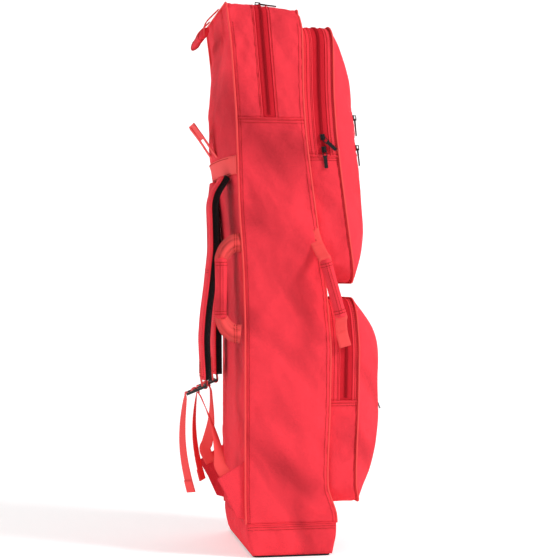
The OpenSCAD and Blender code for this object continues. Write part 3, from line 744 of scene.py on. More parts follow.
def weld_shell():
    """The whole shell as one surface: the band over the sides and top, the back and the front."""
    bm = bmesh.new()
    layer = bm.faces.layers.int.new("region")
    last = len(STATIONS) - 1
    ends_rows = last - BAND_ROWS[-1][1]
    ends_columns = 2 * BAND_ROWS[-1][1]
    grids = [("band", sum(BAND_COLUMNS), 2 * last), ("back_panel", ends_columns, ends_rows),
             ("front_panel", ends_columns, ends_rows)]
    for kind, across, up in grids:
        made = bmesh.ops.create_grid(bm, x_segments=across, y_segments=up, size=0.5)["verts"]
        for vert in made:
            column, row = round((vert.co.x + 0.5) * across), round((vert.co.y + 0.5) * up)
            if kind == "band":
                vert.co = band_place(row, column)
            else:
                vert.co = end_place(row, column, across, 1 if kind == "back_panel" else 0)
        faces = {f for v in made for f in v.link_faces}
        bmesh.ops.recalc_face_normals(bm, faces=list(faces))
        for face in faces:
            face[layer] = REGIONS.index(shell_region(face.calc_center_median(), kind))
        middle = Vector((0, 0, 0.5))
        facing = sum(f.normal.dot(f.calc_center_median() - middle) * f.calc_area() for f in faces)
        if facing < 0:
            bmesh.ops.reverse_faces(bm, faces=list(faces))
    return bm


def seam_gap(place):
    """Distance of a place on the shell from the nearest seam."""
    level = min(place.z, TOP_FRONT_Z - RIM_DROP)
    to_edges = min(abs(place.y - back_y(level)), abs(place.y - front_y(level)))
    on_side = abs(place.x) > HALF_W - 6 * MM
    to_corner = abs(abs(place.x) - HALF_W)
    gaps = [abs(place.z - BOOT_Z), abs(place.z - HEM_Z)]
    if on_side or place.z > TOP_FRONT_Z - 40 * MM:
        gaps.append(to_edges)
    if not on_side:
        gaps.append(to_corner + (20 * MM if place.z > TOP_FRONT_Z - 40 * MM else 0))
    if place.z > HOOD_Z - 40 * MM and on_side:
        gaps.append(abs(place.z - HOOD_Z))
        if place.z > HOOD_Z:
            gaps.append(max(0, abs(place.y - zip_y(place.z)) - TAPE_W / 2))
    return min(gaps)


def back_crown(x, z):
    """How far the straps' pull stands the back panel out at a place."""
    rise = float(np.interp(z, [0.62, 0.7, YOKE_Z, YOKE_TOP, YOKE_TOP + 0.03, 0.9, 0.96, 1.02],
                           [0, 2 * MM, 5 * MM, 21 * MM, 25 * MM, 25 * MM, 13 * MM, 0]))
    return rise * (1 - (x / HALF_W) ** 2)


def build_shell():
    """Swells the shell, cuts it into its panels and returns them."""
    fabric, _, _ = settings()
    cloth, tape = fabric_finish(), tape_finish()
    bm = weld_shell()
    bmesh.ops.remove_doubles(bm, verts=bm.verts, dist=0.3 * MM)
    shell = loose_object("shell", bm)
    pinned = {}
    for vert in shell.data.vertices:
        gap = seam_gap(vert.co)
        if gap < 9 * MM:
            pinned[vert.index] = 1 - blend_value(0, 1, gap / (9 * MM)) * 0.5 if gap > 1 * MM else 1.0
    inflate(shell, {i: w for i, w in pinned.items() if w > 0.9}, pressure=2.2, growth=0.015, cap=fabric.fill)
    add_creases(shell, fabric.crease, lambda p: blend_value(0, 1, (seam_gap(p) - 2 * MM) / (18 * MM)), 4.0)
    top_front, top_back = front_y(TOP_FRONT_Z - RIM_DROP), back_y(TOP_BACK_Z - RIM_DROP)
    for vert in shell.data.vertices:
        if vert.co.y > back_y(vert.co.z) - 12 * MM and abs(vert.co.x) < HALF_W - 1 * MM:
            vert.co.y += back_crown(vert.co.x, vert.co.z)
        share = (vert.co.y - top_front) / (top_back - top_front)
        vert.co.z = min(vert.co.z, top_height(min(1, max(0, share))) + 0.4 * MM)
    plan = {name: ("bag", "fabric", fabric.wall, cloth) for name in REGIONS}
    plan["main_zip_tape"] = ("bag", "zip_tape", 1 * MM, tape)
    return split_piece(shell, REGIONS, plan)


# ---------------------------------------------------------------- pockets

class Pocket:
    """Sizes of one pocket, read from its nodes."""

    def __init__(self, name):
        self.name = name
        low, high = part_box(name + "_face")
        self.z0, self.z1, self.half = low.z, high.z, high.x
        self.mid = (low.z + high.z) / 2
        self.zip_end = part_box(name + "_zip")[0].z
        reach = [np.interp(z, *FRONT_LINE) - y for _, y, z in node_points(name + "_flap")]
        self.depth = max(reach)
        face = [np.interp(z, *FRONT_LINE) - y for _, y, z in node_points(name + "_face")]
        self.bulge = max(face) - self.depth
        strip = [np.interp(z, *FRONT_LINE) - y for _, y, z in node_points(name + "_zip")]
        self.tape = (min(strip), max(strip))
        self.radius = 45 * MM

    def loop(self, step=7 * MM):
        """Places round the pocket's outline, clockwise from the middle of the top, as (x, z)."""
        r, h = self.radius, self.half
        corners = [(h - r, self.z1 - r, 90), (h - r, self.z0 + r, 0), (-h + r, self.z0 + r, -90),
                   (-h + r, self.z1 - r, -180)]
        outline = [Vector((0, self.z1))]
        for cx, cz, start in corners:
            for k in range(9):
                angle = math.radians(start - 90 * k / 8)
                outline.append(Vector((cx + r * math.cos(angle), cz + r * math.sin(angle))))
        outline.append(Vector((0, self.z1)))
        return [p for p, _ in spaced([Vector((p.x, p.y, 0)) for p in outline], step)][:-1]

    def swell(self, x, z):
        """How far the face stands out at a place, from 0 to 1."""
        u, v = abs(x) / self.half, abs(z - self.mid) / (self.z1 - self.mid)
        return max(0, 1 - u ** 4) * max(0, 1 - v ** 4)

    def gusset_at(self, x, z, depth):
        """A place on the gusset at a depth in front of the body."""
        return Vector((x, front_y(z) - depth, z))

    def line(self, depth, z_from=None, z_to=None):
        """A line round the gusset at a depth, between two heights."""
        points = self.loop(5 * MM)
        turn = len(points) // 2
        points = points[turn:] + points[:turn]
        low = self.zip_end if z_from is None else z_from
        high = 9 if z_to is None else z_to
        return [self.gusset_at(p.x, p.y, depth) for p in points if low <= p.y <= high]

    def hem_line(self, side, drop=0.0):
        """A line across the gusset where its zip ends, or a little below."""
        x, y, z = side * self.half, front_y(self.zip_end), self.zip_end - drop
        return [Vector((x, y - self.depth * k / 12, z)) for k in range(13)]


def pocket_region(pocket, place, depth, on_face):
    """The panel of a pocket that a place belongs to."""
    if on_face:
        return 0
    if place.z < pocket.zip_end:
        return 1
    if depth < pocket.tape[0]:
        return 2
    return 3 if depth < pocket.tape[1] else 4


def face_zip_lines():
    """The middles of the zips on the pockets' faces: (pocket, start, end) as (x, z)."""
    points = node_points("face_zips")
    upper = points[points[:, 2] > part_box("upper_pocket_face")[0].z]
    lower = points[points[:, 2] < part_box("lower_pocket_face")[1].z]
    half = upper[:, 0].max()
    cut = (upper[:, 2].min() + upper[:, 2].max()) / 2
    lines = [("upper", Vector((-half, z)), Vector((half, z))) for z in
             (float(upper[upper[:, 2] > cut][:, 2].mean()), float(upper[upper[:, 2] < cut][:, 2].mean()))]
    lines.append(("lower", Vector((0, float(lower[:, 2].min()))), Vector((0, float(lower[:, 2].max())))))
    return lines


FACE_ZIP_LINES = face_zip_lines()


def near_face_zip(kind, x, z):
    """Distance of a place on a pocket's face from its nearest zip."""
    best = 1.0
    for owner, a, b in FACE_ZIP_LINES:
        if owner == kind:
            nearest = Vector((min(max(x, a.x), b.x), min(max(z, a.y), b.y)))
            best = min(best, (nearest - Vector((x, z))).length)
    return best


def build_pocket(name, seed):
    """One pocket: its gusset, zip, flap and face as one surface, swelled and cut into its panels."""
    fabric, _, _ = settings()
    pocket = Pocket(name)
    kind = name.split("_")[0]
    loop = pocket.loop()
    count, rows, rings = len(loop), 13, 24
    bm = bmesh.new()
    layer = bm.faces.layers.int.new("region")
    depths = sorted({0, *pocket.tape, pocket.depth,
                     *[pocket.depth * k / rows for k in range(1, rows)]})
    made = bmesh.ops.create_grid(bm, x_segments=count, y_segments=len(depths) - 1, size=0.5)["verts"]
    for vert in made:
        spot = loop[int(round((vert.co.x + 0.5) * count)) % count]
        vert.co = pocket.gusset_at(spot.x, spot.y, depths[int(round((vert.co.y + 0.5) * (len(depths) - 1)))])
    gusset_faces = {f for v in made for f in v.link_faces}
    made = bmesh.ops.create_grid(bm, x_segments=count, y_segments=rings, size=0.5)["verts"]
    middle = Vector((0, pocket.mid))
    for vert in made:
        spot = loop[int(round((vert.co.x + 0.5) * count)) % count]
        share = 1 - int(round((vert.co.y + 0.5) * rings)) / rings
        x, z = middle + (Vector((spot.x, spot.y)) - middle) * share
        vert.co = Vector((x, front_y(z) - pocket.depth - pocket.bulge * pocket.swell(x, z), z))
    for face in bm.faces:
        spot = face.calc_center_median()
        face[layer] = pocket_region(pocket, spot, front_y(spot.z) - spot.y, face not in gusset_faces)
    bmesh.ops.remove_doubles(bm, verts=bm.verts, dist=0.4 * MM)
    bmesh.ops.recalc_face_normals(bm, faces=bm.faces)
    outwards = sum(f.normal.y * f.calc_area() for f in bm.faces if f[layer] == 0)
    if outwards > 0:
        bmesh.ops.reverse_faces(bm, faces=bm.faces)
    piece = loose_object(name, bm)

    def seam(place):
        """Distance of a place from the pocket's seams and zips."""
        depth = front_y(place.z) - place.y
        on_gusset = depth < pocket.depth + 0.5 * MM
        if on_gusset:
            gaps = [depth, pocket.depth - depth]
            if place.z > pocket.zip_end - 10 * MM:
                gaps.append(0.0)
            return min(gaps)
        edge = min(pocket.half - abs(place.x), place.z - pocket.z0, pocket.z1 - place.z)
        return min(edge, max(0, near_face_zip(kind, place.x, place.z) - 13 * MM))

    pinned = {v.index: 1.0 for v in piece.data.vertices if seam(v.co) < 1.5 * MM}
    inflate(piece, pinned, pressure=1.2, growth=0.012, cap=3 * MM)
    add_creases(piece, fabric.crease * 0.8, lambda p: blend_value(0, 1, seam(p) / (15 * MM)), seed)
    cloth = fabric_finish()
    names = [name + part for part in ("_face", "_lower_gusset", "_gusset", "_zip", "_flap")]
    plan = {n: ("bag", "fabric", fabric.wall, cloth) for n in names}
    plan[name + "_zip"] = ("bag", "zip_tape", 0.9 * MM, tape_finish())
    return pocket, split_piece(piece, names, plan)


def tubes(name, routes, radius, material, body, slot, replaced=(), closed=False):
    """Round cords along routes, as one piece."""
    _, trim, _ = settings()
    bm = bmesh.new()
    for route in routes:
        first = (route[1] - route[0]).normalized()
        guide = Vector((0, 0, 1)) if abs(first.z) < 0.7 else Vector((0, 1, 0))
        side = first.cross(guide).normalized()
        sides = [side]
        for a, b in zip(route, route[1:]):
            ahead = (b - a).normalized()
            side = (side - ahead * side.dot(ahead)).normalized()
            sides.append(side)
        last = len(sides) - 1
        add_sweep(bm, route, round_section(radius, trim.around),
                  lambda t: sides[min(last, int(round(t * last)))], closed)
    return finish_piece(name, bm, material, body, slot, replaced)


def edge_route(edge, outwards, x_inset, top):
    """A line up one side of an edge of the body, over its top and down the other side."""
    corner = HOOD_CORNER
    side = HALF_W - x_inset
    heights = [BOOT_Z + (top - corner - BOOT_Z) * k / 130 for k in range(131)]
    left = [Vector((-side, edge(z) + outwards, z)) for z in heights]
    arc = [Vector((-side + corner - corner * math.cos(a), edge(top - RIM_DROP) + outwards,
                   top - corner + corner * math.sin(a)))
           for a in (math.pi / 2 * k / 6 for k in range(1, 7))]
    half = left + arc
    return half + [Vector((-p.x, p.y, p.z)) for p in reversed(half)]


def build_piping(pockets):
    """Piping round the body and round each pocket's face."""
    cord = webbing_finish()
    for node, edge, outwards, top in (("back_piping", back_y, 1.2 * MM, TOP_BACK_Z + 1 * MM),
                                      ("front_piping", front_y, -1.2 * MM, TOP_FRONT_Z + 1 * MM)):
        tubes(node + "_cord", [edge_route(edge, outwards, 0.5 * MM, top)], PIPING_R, cord, "bag", "webbing",
              (node,))
    for pocket in pockets:
        ring = []
        for p in pocket.loop(5 * MM):
            out = Vector((p.x / pocket.half, (p.y - pocket.mid) / (pocket.z1 - pocket.mid)))
            grow = 1.6 * MM
            spot = pocket.gusset_at(p.x, p.y, pocket.depth)
            ring.append(spot + Vector((math.copysign(grow, out.x) if abs(out.x) > 0.97 else grow * out.x,
                                       -1 * MM,
                                       math.copysign(grow, out.y) if abs(out.y) > 0.97 else grow * out.y)))
        tubes(pocket.name + "_piping_cord", [ring], PIPING_R * 0.95, cord, "bag", "webbing",
              (pocket.name + "_piping",), closed=True)


def build_zips(shell, pockets, panels):
    """Coils, folded edges and stitches of the zips on the body and the pockets."""
    fold = fabric_finish()
    tape_half = TAPE_W / 2
    tape = shell["main_zip_tape"]

    def over_top(offset):
        """A line up the side, over the top and down, at an offset behind the main zip's middle."""
        route = []
        for k in range(15, 101):
            z = HOOD_Z + (TOP_BACK_Z - HOOD_CORNER - HOOD_Z) * (k - 15) / 85
            route.append(Vector((-HALF_W, zip_y(z) + offset, z)))
        for k in range(1, 7):
            angle = math.pi / 2 * k / 6
            route.append(Vector((-HALF_W + HOOD_CORNER * (1 - math.cos(angle)), ZIP_TOP_Y + offset,
                                 TOP_BACK_Z - HOOD_CORNER + HOOD_CORNER * math.sin(angle))))
        return route + [Vector((-p.x, p.y, p.z)) for p in reversed(route)]

    teeth_route = [p for p in over_top(0) if p.z > HOOD_Z + 6 * MM]
    coil = zip_teeth("main_zip_coil", [teeth_route], [tape], "bag")
    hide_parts("main_zip_chain")
    body_pieces = [shell[n] for n in ("hood_back", "hood_front", "side_panel_left", "side_panel_right", "boot",
                                      "main_zip_tape")]
    tree = surface_of(*body_pieces)
    folds = [lay_on(over_top(o), tree, 0.2 * MM)[0] for o in (-tape_half, tape_half)]
    seams = []
    for x in (-HALF_W, HALF_W):
        for z in (HOOD_Z, BOOT_Z):
            seams.append(straight((x, front_y(z), z), (x, back_y(z), z), 24))
    tubes("body_folds", folds + [lay_on(s, tree, 0.1 * MM)[0] for s in seams], 1.3 * MM, fold, "bag", "fabric")
    rows = [over_top(o) for o in (-tape_half - 4 * MM, tape_half + 4 * MM)]
    for x in (-HALF_W, HALF_W):
        for z in (HOOD_Z - 4 * MM, HOOD_Z - 9 * MM, BOOT_Z - 6 * MM, BOOT_Z - 11 * MM):
            rows.append(straight((x, front_y(z) + 3 * MM, z), (x, back_y(z) - 3 * MM, z), 24))
        for edge, inwards in ((back_y, -7 * MM), (front_y, 7 * MM)):
            rows.append([Vector((x, edge(z) + inwards, z)) for z in
                         np.linspace(BOOT_Z + 4 * MM, TOP_FRONT_Z - 30 * MM, 120)])
    stitch_lines("body_stitches", rows, body_pieces, "bag")
    for pocket in pockets:
        parts = panels[pocket.name]
        zip_piece = parts[pocket.name + "_zip"]
        middle = sum(pocket.tape) / 2
        zip_teeth(pocket.name + "_coil", [pocket.line(middle, pocket.zip_end + 4 * MM)], [zip_piece], "bag")
        gusset_tree = surface_of(*[p for n, p in parts.items() if not n.endswith("_face")])
        lines = [pocket.line(d) for d in pocket.tape]
        lines += [pocket.hem_line(side) for side in (LEFT, RIGHT)]
        tubes(pocket.name + "_folds", [lay_on(line, gusset_tree, 0.2 * MM)[0] for line in lines], 1.2 * MM,
              fold, "bag", "fabric")
        rows = [pocket.line(d) for d in (5 * MM, 11 * MM, pocket.tape[0] - 4 * MM, pocket.tape[1] + 4 * MM)]
        rows += [pocket.line(pocket.depth - 4 * MM, pocket.z0)]
        rows += [pocket.hem_line(side, drop)[1:-1] for side in (LEFT, RIGHT) for drop in (4 * MM, 9 * MM)]
        stitch_lines(pocket.name + "_stitches", rows,
                     [p for n, p in parts.items() if not n.endswith("_face")], "bag")


def build_face_zips(panels):
    """The zips on the faces of the pockets: tape, folded edges, coil and stitches."""
    bm, folds, teeth, rows = bmesh.new(), [], [], []
    faces = {"upper": panels["upper_pocket"]["upper_pocket_face"],
             "lower": panels["lower_pocket"]["lower_pocket_face"]}
    half = 12 * MM
    for kind, a, b in FACE_ZIP_LINES:
        tree = surface_of(faces[kind])
        ahead = (b - a).normalized()
        across = Vector((-ahead.y, ahead.x))
        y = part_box(kind + "_pocket_face")[0].y

        def row(offset, inset=0.0):
            """A line beside the zip's middle, above the face."""
            start, end = a + ahead * inset + across * offset, b - ahead * inset + across * offset
            return [Vector((p.x, y, p.y)) for p in (start.lerp(end, k / 40) for k in range(41))]

        flat, _ = lay_on(row(0), tree, 0.9 * MM, 0.2)
        add_sweep(bm, flat, strap_section(2 * half, 0.9 * MM), constant(across.x, 0, across.y))
        for offset in (-half, half):
            folds.append(lay_on(row(offset, -2 * MM), tree, 0.6 * MM, 0.2)[0])
        for end in (a, b):
            line = [Vector((p.x, y, p.y)) for p in (end + across * half * (k / 6 - 1) for k in range(13))]
            folds.append(lay_on(line, tree, 0.6 * MM, 0.2)[0])
        teeth.append((kind, lay_on(row(0, 3 * MM), tree, 1.2 * MM, 0.2)[0]))
        rows.append((kind, [lay_on(row(o, -5 * MM), tree, 0.5 * MM, 0.2)[0] for o in (-half - 4 * MM,
                                                                                      half + 4 * MM)]))
    tape = finish_piece("face_zips_tape", bm, tape_finish(), "bag", "zip_tape", ("face_zips",))
    tubes("face_zip_folds", folds, 1.4 * MM, fabric_finish(), "bag", "fabric")
    zip_teeth("face_zip_coils", [line for _, line in teeth], [tape], "bag")
    for kind in faces:
        lines = [line for owner, pair in rows if owner == kind for line in pair]
        stitch_lines(kind + "_face_stitches", lines, [faces[kind]], "bag")


# ---------------------------------------------------------------- base, yoke and wings

def build_base():
    """The black base with its rolled edge."""
    low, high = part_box("base_panel")
    inset = Vector((0.6 * MM, 0.6 * MM, 0))
    low, high = low + inset, high - inset
    place = Matrix.Translation((low + high) / 2) @ Matrix.Diagonal((*(high - low), 1))
    bm = bmesh.new()
    bmesh.ops.create_cube(bm, size=1.0, matrix=place)
    upright = [e for e in bm.edges if abs(e.verts[0].co.z - e.verts[1].co.z) > 1e-6]
    bmesh.ops.bevel(bm, geom=upright, offset=12 * MM, segments=6, profile=0.5, affect="EDGES", material=-1)
    rims = [e for e in bm.edges if abs(e.verts[0].co.z - e.verts[1].co.z) < 1e-6]
    bmesh.ops.bevel(bm, geom=rims, offset=1.2 * MM, segments=2, profile=0.5, affect="EDGES", material=-1)
    finish_piece("base_cloth", bm, rubber_finish(), "bag", "base_fabric", ("base_panel",), smooth=False)


def build_yoke(shell):
    """The band that the straps are sewn to, with a bright webbing end at each side."""
    low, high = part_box("yoke_band")
    middle, width = (low.z + high.z) / 2, high.z - low.z
    tree = surface_of(shell["back_panel"])

    def line(x0, x1, z, lift):
        """A level line on the panel, lifted off it."""
        route = []
        for k in range(41):
            start = Vector((x0 + (x1 - x0) * k / 40, back_y(z) + 100 * MM, z))
            spot, normal, _, _ = tree.ray_cast(start, Vector((0, -1, 0)))
            if spot is None:
                spot, normal = Vector((start.x, back_y(z), z)), Vector((0, 1, 0))
            route.append(spot + normal * lift)
        return route

    def band_on(bm, x0, x1, lift, thick, width):
        """A flat band that follows the panel's slope."""
        lows = line(x0, x1, middle - width * 0.35, lift)
        highs = line(x0, x1, middle + width * 0.35, lift)
        add_sweep(bm, [a.lerp(b, 0.5) for a, b in zip(lows, highs)], strap_section(width, thick),
                  lambda share: (highs[round(share * 40)] - lows[round(share * 40)]).normalized())

    bm = bmesh.new()
    band_on(bm, low.x + 3 * MM, high.x - 3 * MM, 1.8 * MM, 2.6 * MM, width)
    band = finish_piece("yoke_band_cloth", bm, webbing_finish(), "bag", "webbing", ("yoke_band",))
    bm = bmesh.new()
    for side in (LEFT, RIGHT):
        end = side * (HALF_W - 2 * MM)
        band_on(bm, end, end - side * 34 * MM, 3.4 * MM, 2 * MM, width - 1 * MM)
    ends = finish_piece("yoke_webbing_ends", bm, webbing_finish(), "bag", "webbing")
    rows = [line(low.x + 8 * MM, high.x - 8 * MM, z, 3 * MM) for z in (low.z + 4 * MM, high.z - 4 * MM)]
    stitch_lines("yoke_stitches", rows, [band, ends], "bag")


def build_wings():
    """The triangles of fabric near the base that the lower webbing is sewn to."""
    low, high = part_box("anchor_wings")
    lift = 3 * MM
    bm = bmesh.new()
    rows = []
    outer_heights, outer_reach = [low.z + 6 * MM, low.z + 48 * MM, high.z - 37 * MM], [0.32, 0.64, 1.0]
    for side in (LEFT, RIGHT):
        def shape(u, w, side=side):
            """A place on the wing: u from the body outwards, w upwards."""
            z_in = low.z + (high.z - low.z) * w
            z_out = float(np.interp(w, [0, 0.5, 1], outer_heights))
            reach = float(np.interp(w, [0, 0.5, 1], outer_reach))
            y_in = back_y(z_in) - 2 * MM
            y_out = back_y(z_out) + (high.y - back_y(z_out)) * reach
            curl = 2.5 * MM * math.sin(math.pi * u) * math.sin(math.pi * w)
            return Vector((side * (high.x - lift / 2 + curl), y_in + (y_out - y_in) * u,
                           z_in + (z_out - z_in) * u))
        wing = panel(shape, 16, 24)
        part = bpy.data.meshes.new("wing")
        wing.to_mesh(part)
        wing.free()
        bm.from_mesh(part)
        for w in (0.97, 0.9):
            rows.append([shape(k / 20, w) for k in range(1, 20)])
        for u in (0.93, 0.86):
            rows.append([shape(u, k / 20) for k in range(1, 19)])
    wings = finish_piece("anchor_wing_cloth", bm, fabric_finish(), "bag", "fabric", ("anchor_wings",),
                         outward=lambda p: Vector((p.x, 0, 0)))
    wall = wings.modifiers.new("wall", "SOLIDIFY")
    wall.thickness = 2.4 * MM
    wall.offset = 0
    stitch_lines("wing_stitches", rows, [wings], "bag")


# ---------------------------------------------------------------- straps

def strap_line(node, x, edge):
    """Depth against height of one face of a strap's pad, from its node's side corners."""
    points = [p for p in node_points(node) if abs(p[0] - x) > 20 * MM]
    line = {}
    for _, y, z in points:
        key = round(float(z), 4)
        line[key] = y if key not in line else edge(line[key], y)
    heights = sorted(line)
    return np.array(heights), np.array([line[h] for h in heights])


def joint_place(name):
    """Where a joint turns."""
    found = [j for j in frame["joints"] if j["name"] == name][0]
    return Vector(found["pos_m"])


def build_strap(side):
    """A shoulder strap: padded cover with bound edges, mesh underside, tab and stitches."""
    word = "left" if side < 0 else "right"
    body = "strap_" + word
    cover_node, foam_node = "strap_cover_" + word, "strap_foam_" + word
    foam_low, foam_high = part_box(foam_node)
    x = (foam_low.x + foam_high.x) / 2
    cover_low, cover_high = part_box(cover_node)
    width = cover_high.x - cover_low.x
    outer, inner = strap_line(cover_node, x, max), strap_line(cover_node, x, min)
    foam_in = strap_line(foam_node, x, min)
    top, end = foam_high.z, foam_low.z
    cover_t = float(np.interp(end + 0.1, *outer) - np.interp(end + 0.1, *inner))

    def middle(line_a, line_b, z):
        """Depth half way between two faces of the strap, eased along its length."""
        steps = [min(top, max(end, z + 14 * MM * k / 3)) for k in range(-3, 4)]
        return float(np.mean([np.interp(s, *line_a) + np.interp(s, *line_b) for s in steps]) / 2)

    heights = [top - (top - end) * k / 60 for k in range(61)]
    wobble = [2 * MM * swing(z * 9, side * 3.0, 1.0) for z in heights]
    cover_route = [Vector((x, middle(outer, inner, z) + w * 0.4, z)) for z, w in zip(heights, wobble)]
    foam_route = [Vector((x, middle(inner, foam_in, z), z)) for z in heights]
    half, t = width / 2, cover_t / 2
    left_half = [(-half, -t * 0.6), (-half - 0.6 * MM, 0), (-half, t * 0.8), (-half + 4 * MM, t * 1.0),
                 (-half + 6 * MM, t * 0.75), (-half + 12 * MM, t * 1.25), (-half * 0.4, t * 1.6)]
    cover_section = left_half + [(-p, q) for p, q in reversed(left_half)]
    bm = bmesh.new()
    add_sweep(bm, cover_route, cover_section, constant(-1, 0, 0))
    cover = finish_piece(cover_node + "_cloth", bm, fabric_finish(), body, "fabric", (cover_node,))
    foam_t = float(np.interp((top + end) / 2, *inner) - np.interp((top + end) / 2, *foam_in))
    h, f = (foam_high.x - foam_low.x) / 2, foam_t / 2
    left_half = [(-h, f), (-h - 0.5 * MM, f * 0.3), (-h + 1 * MM, -f * 0.5), (-h + 8 * MM, -f)]
    foam_section = left_half + [(0, -f * 1.12)] + [(-p, q) for p, q in reversed(left_half)]
    bm = bmesh.new()
    add_sweep(bm, foam_route, foam_section, constant(-1, 0, 0))
    foam = finish_piece(foam_node + "_mesh", bm, mesh_finish(), body, "mesh", (foam_node,))
    rows = []
    for offset in (-half + 5 * MM, half - 5 * MM):
        rows.append([Vector((x + offset, p.y + t, p.z)) for p in cover_route[1:-1]])
    joined_z = top - 0.46 * (top - end)
    for z in (joined_z, joined_z - 5 * MM, end + 6 * MM):
        y = middle(outer, inner, z) + t
        rows.append(straight((x - half + 6 * MM, y, z), (x + half - 6 * MM, y, z), 12))
    stitch_lines(cover_node + "_stitches", rows, [cover], body)
    seam_z = joined_z + 3 * MM
    seam_y = middle(outer, inner, seam_z) + t
    seam = straight((x - half, seam_y, seam_z), (x + half, seam_y, seam_z), 16)
    tree = surface_of(cover)
    tubes(cover_node + "_seam", [lay_on(seam, tree, 0.2 * MM)[0]], 1.1 * MM, fabric_finish(), body, "fabric")
    bar = joint_place("buckle_%s_tilt" % word)
    out_y = float(np.interp(end + 0.1 * MM, *outer))
    tab = smooth_route([(x, out_y + 2.6 * MM, end + 38 * MM), (x, out_y + 2.6 * MM, end + 12 * MM),
                        (x, out_y + 0.5 * MM, end - 4 * MM), (x, bar.y + 4.8 * MM, bar.z + 1 * MM),
                        (x, bar.y + 2.6 * MM, bar.z - 4.2 * MM), (x, bar.y - 3 * MM, bar.z - 3.6 * MM),
                        (x, bar.y - 4.6 * MM, bar.z + 3 * MM), (x, bar.y - 3 * MM, end + 1 * MM)], 5)
    bm = bmesh.new()
    add_sweep(bm, tab, strap_section(STRAP_WEBBING_W, 2 * MM), constant(-1, 0, 0))
    strip = finish_piece(body + "_tab", bm, webbing_finish(), body, "webbing")
    box_rows = []
    for a, b in (((-9, 34), (9, 34)), ((9, 34), (9, 14)), ((9, 14), (-9, 14)), ((-9, 14), (-9, 34)),
                 ((-9, 34), (9, 14)), ((9, 34), (-9, 14)), ((-10, 8), (10, 8)), ((-10, 6), (10, 6))):
        box_rows.append(straight(*((x + p * MM, out_y + 3.6 * MM, end + q * MM) for p, q in (a, b)), 8))
    stitch_lines(body + "_tab_stitches", box_rows, [strip], body)
    return x, bar


def build_lower_webbing(side, x, bar):
    """The webbing of a strap: through the buckle, down to its wing, and its loose tail."""
    word = "left" if side < 0 else "right"
    webbing = webbing_finish()
    _, trim, _ = settings()
    width, t = STRAP_WEBBING_W, trim.webbing_t
    wing_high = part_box("anchor_wings")[1]
    upper = Vector((x, bar.y + 10 * MM, bar.z - 17 * MM))
    lower = Vector((side * (wing_high.x - 9 * MM), wing_high.y - 9 * MM, wing_high.z - 26 * MM))
    route = [upper.lerp(lower, k / 36) - Vector((0, 9 * MM * math.sin(math.pi * k / 36), 0)) for k in range(37)]
    inwards = Vector((side * 3.5 * MM, -18 * MM, -16 * MM))
    route = smooth_route([upper + Vector((0, 4 * MM, 5 * MM))] + route[1::4] + [lower + inwards], 6)

    def across(share):
        """The webbing turns from flat against the strap to flat against its wing."""
        angle = math.pi / 2 * min(1, share * 1.06) ** 2
        return Vector((side * math.cos(angle), math.sin(angle), 0))

    bm = bmesh.new()
    add_sweep(bm, route, strap_section(width, t), across)
    name = "strap_webbing_" + word
    piece = finish_piece(name + "_band", bm, webbing, "bag", "webbing", (name,), ride=False)
    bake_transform(piece)
    tail_node = "strap_tail_" + word
    line = {}
    for _, y, z in node_points(tail_node):
        line.setdefault(round(float(z), 4), []).append(y)
    heights = sorted(line, reverse=True)
    tail = [Vector((x, float(np.mean(line[z])), z)) for z in heights]
    tail = smooth_route(tail, 4)
    bm = bmesh.new()
    turn = turning((-1, 0, 0), (-0.8, 0.6 * side, 0), 0.5)
    add_sweep(bm, tail, strap_section(width, t), turn)
    hem = tail[-6:]
    out = Vector((0.6 * side, 0.8, 0)) * 1.7 * MM
    add_sweep(bm, [p + out for p in hem], strap_section(width, t), lambda share: turn(0.9 + 0.1 * share))
    finish_piece(tail_node + "_band", bm, webbing, "tail_" + word, "webbing", (tail_node,))
    tilt = Vector((0, math.cos(BUCKLE_TILT), math.sin(BUCKLE_TILT)))
    rise = Vector((0, -tilt.z, tilt.y))
    ladder = [upper + Vector((0, 3 * MM, 3 * MM)), bar + tilt * 15 * MM - rise * 5 * MM,
              bar + tilt * 17 * MM + rise * 3.5 * MM, bar + tilt * 24 * MM + rise * 4.6 * MM,
              bar + tilt * 30 * MM - rise * 0.5 * MM, bar + tilt * 34 * MM - rise * 1 * MM,
              bar + tilt * 39 * MM + rise * 3.0 * MM, bar + tilt * 43 * MM - rise * 1 * MM,
              tail[0] + Vector((0, 0.5 * MM, -2 * MM))]
    bm = bmesh.new()
    add_sweep(bm, smooth_route([Vector((x, p.y, p.z)) for p in ladder], 5), strap_section(width, 1.5 * MM),
              constant(-1, 0, 0))
    finish_piece("buckle_%s_webbing" % word, bm, webbing, "buckle_" + word, "webbing")


# ---------------------------------------------------------------- handles

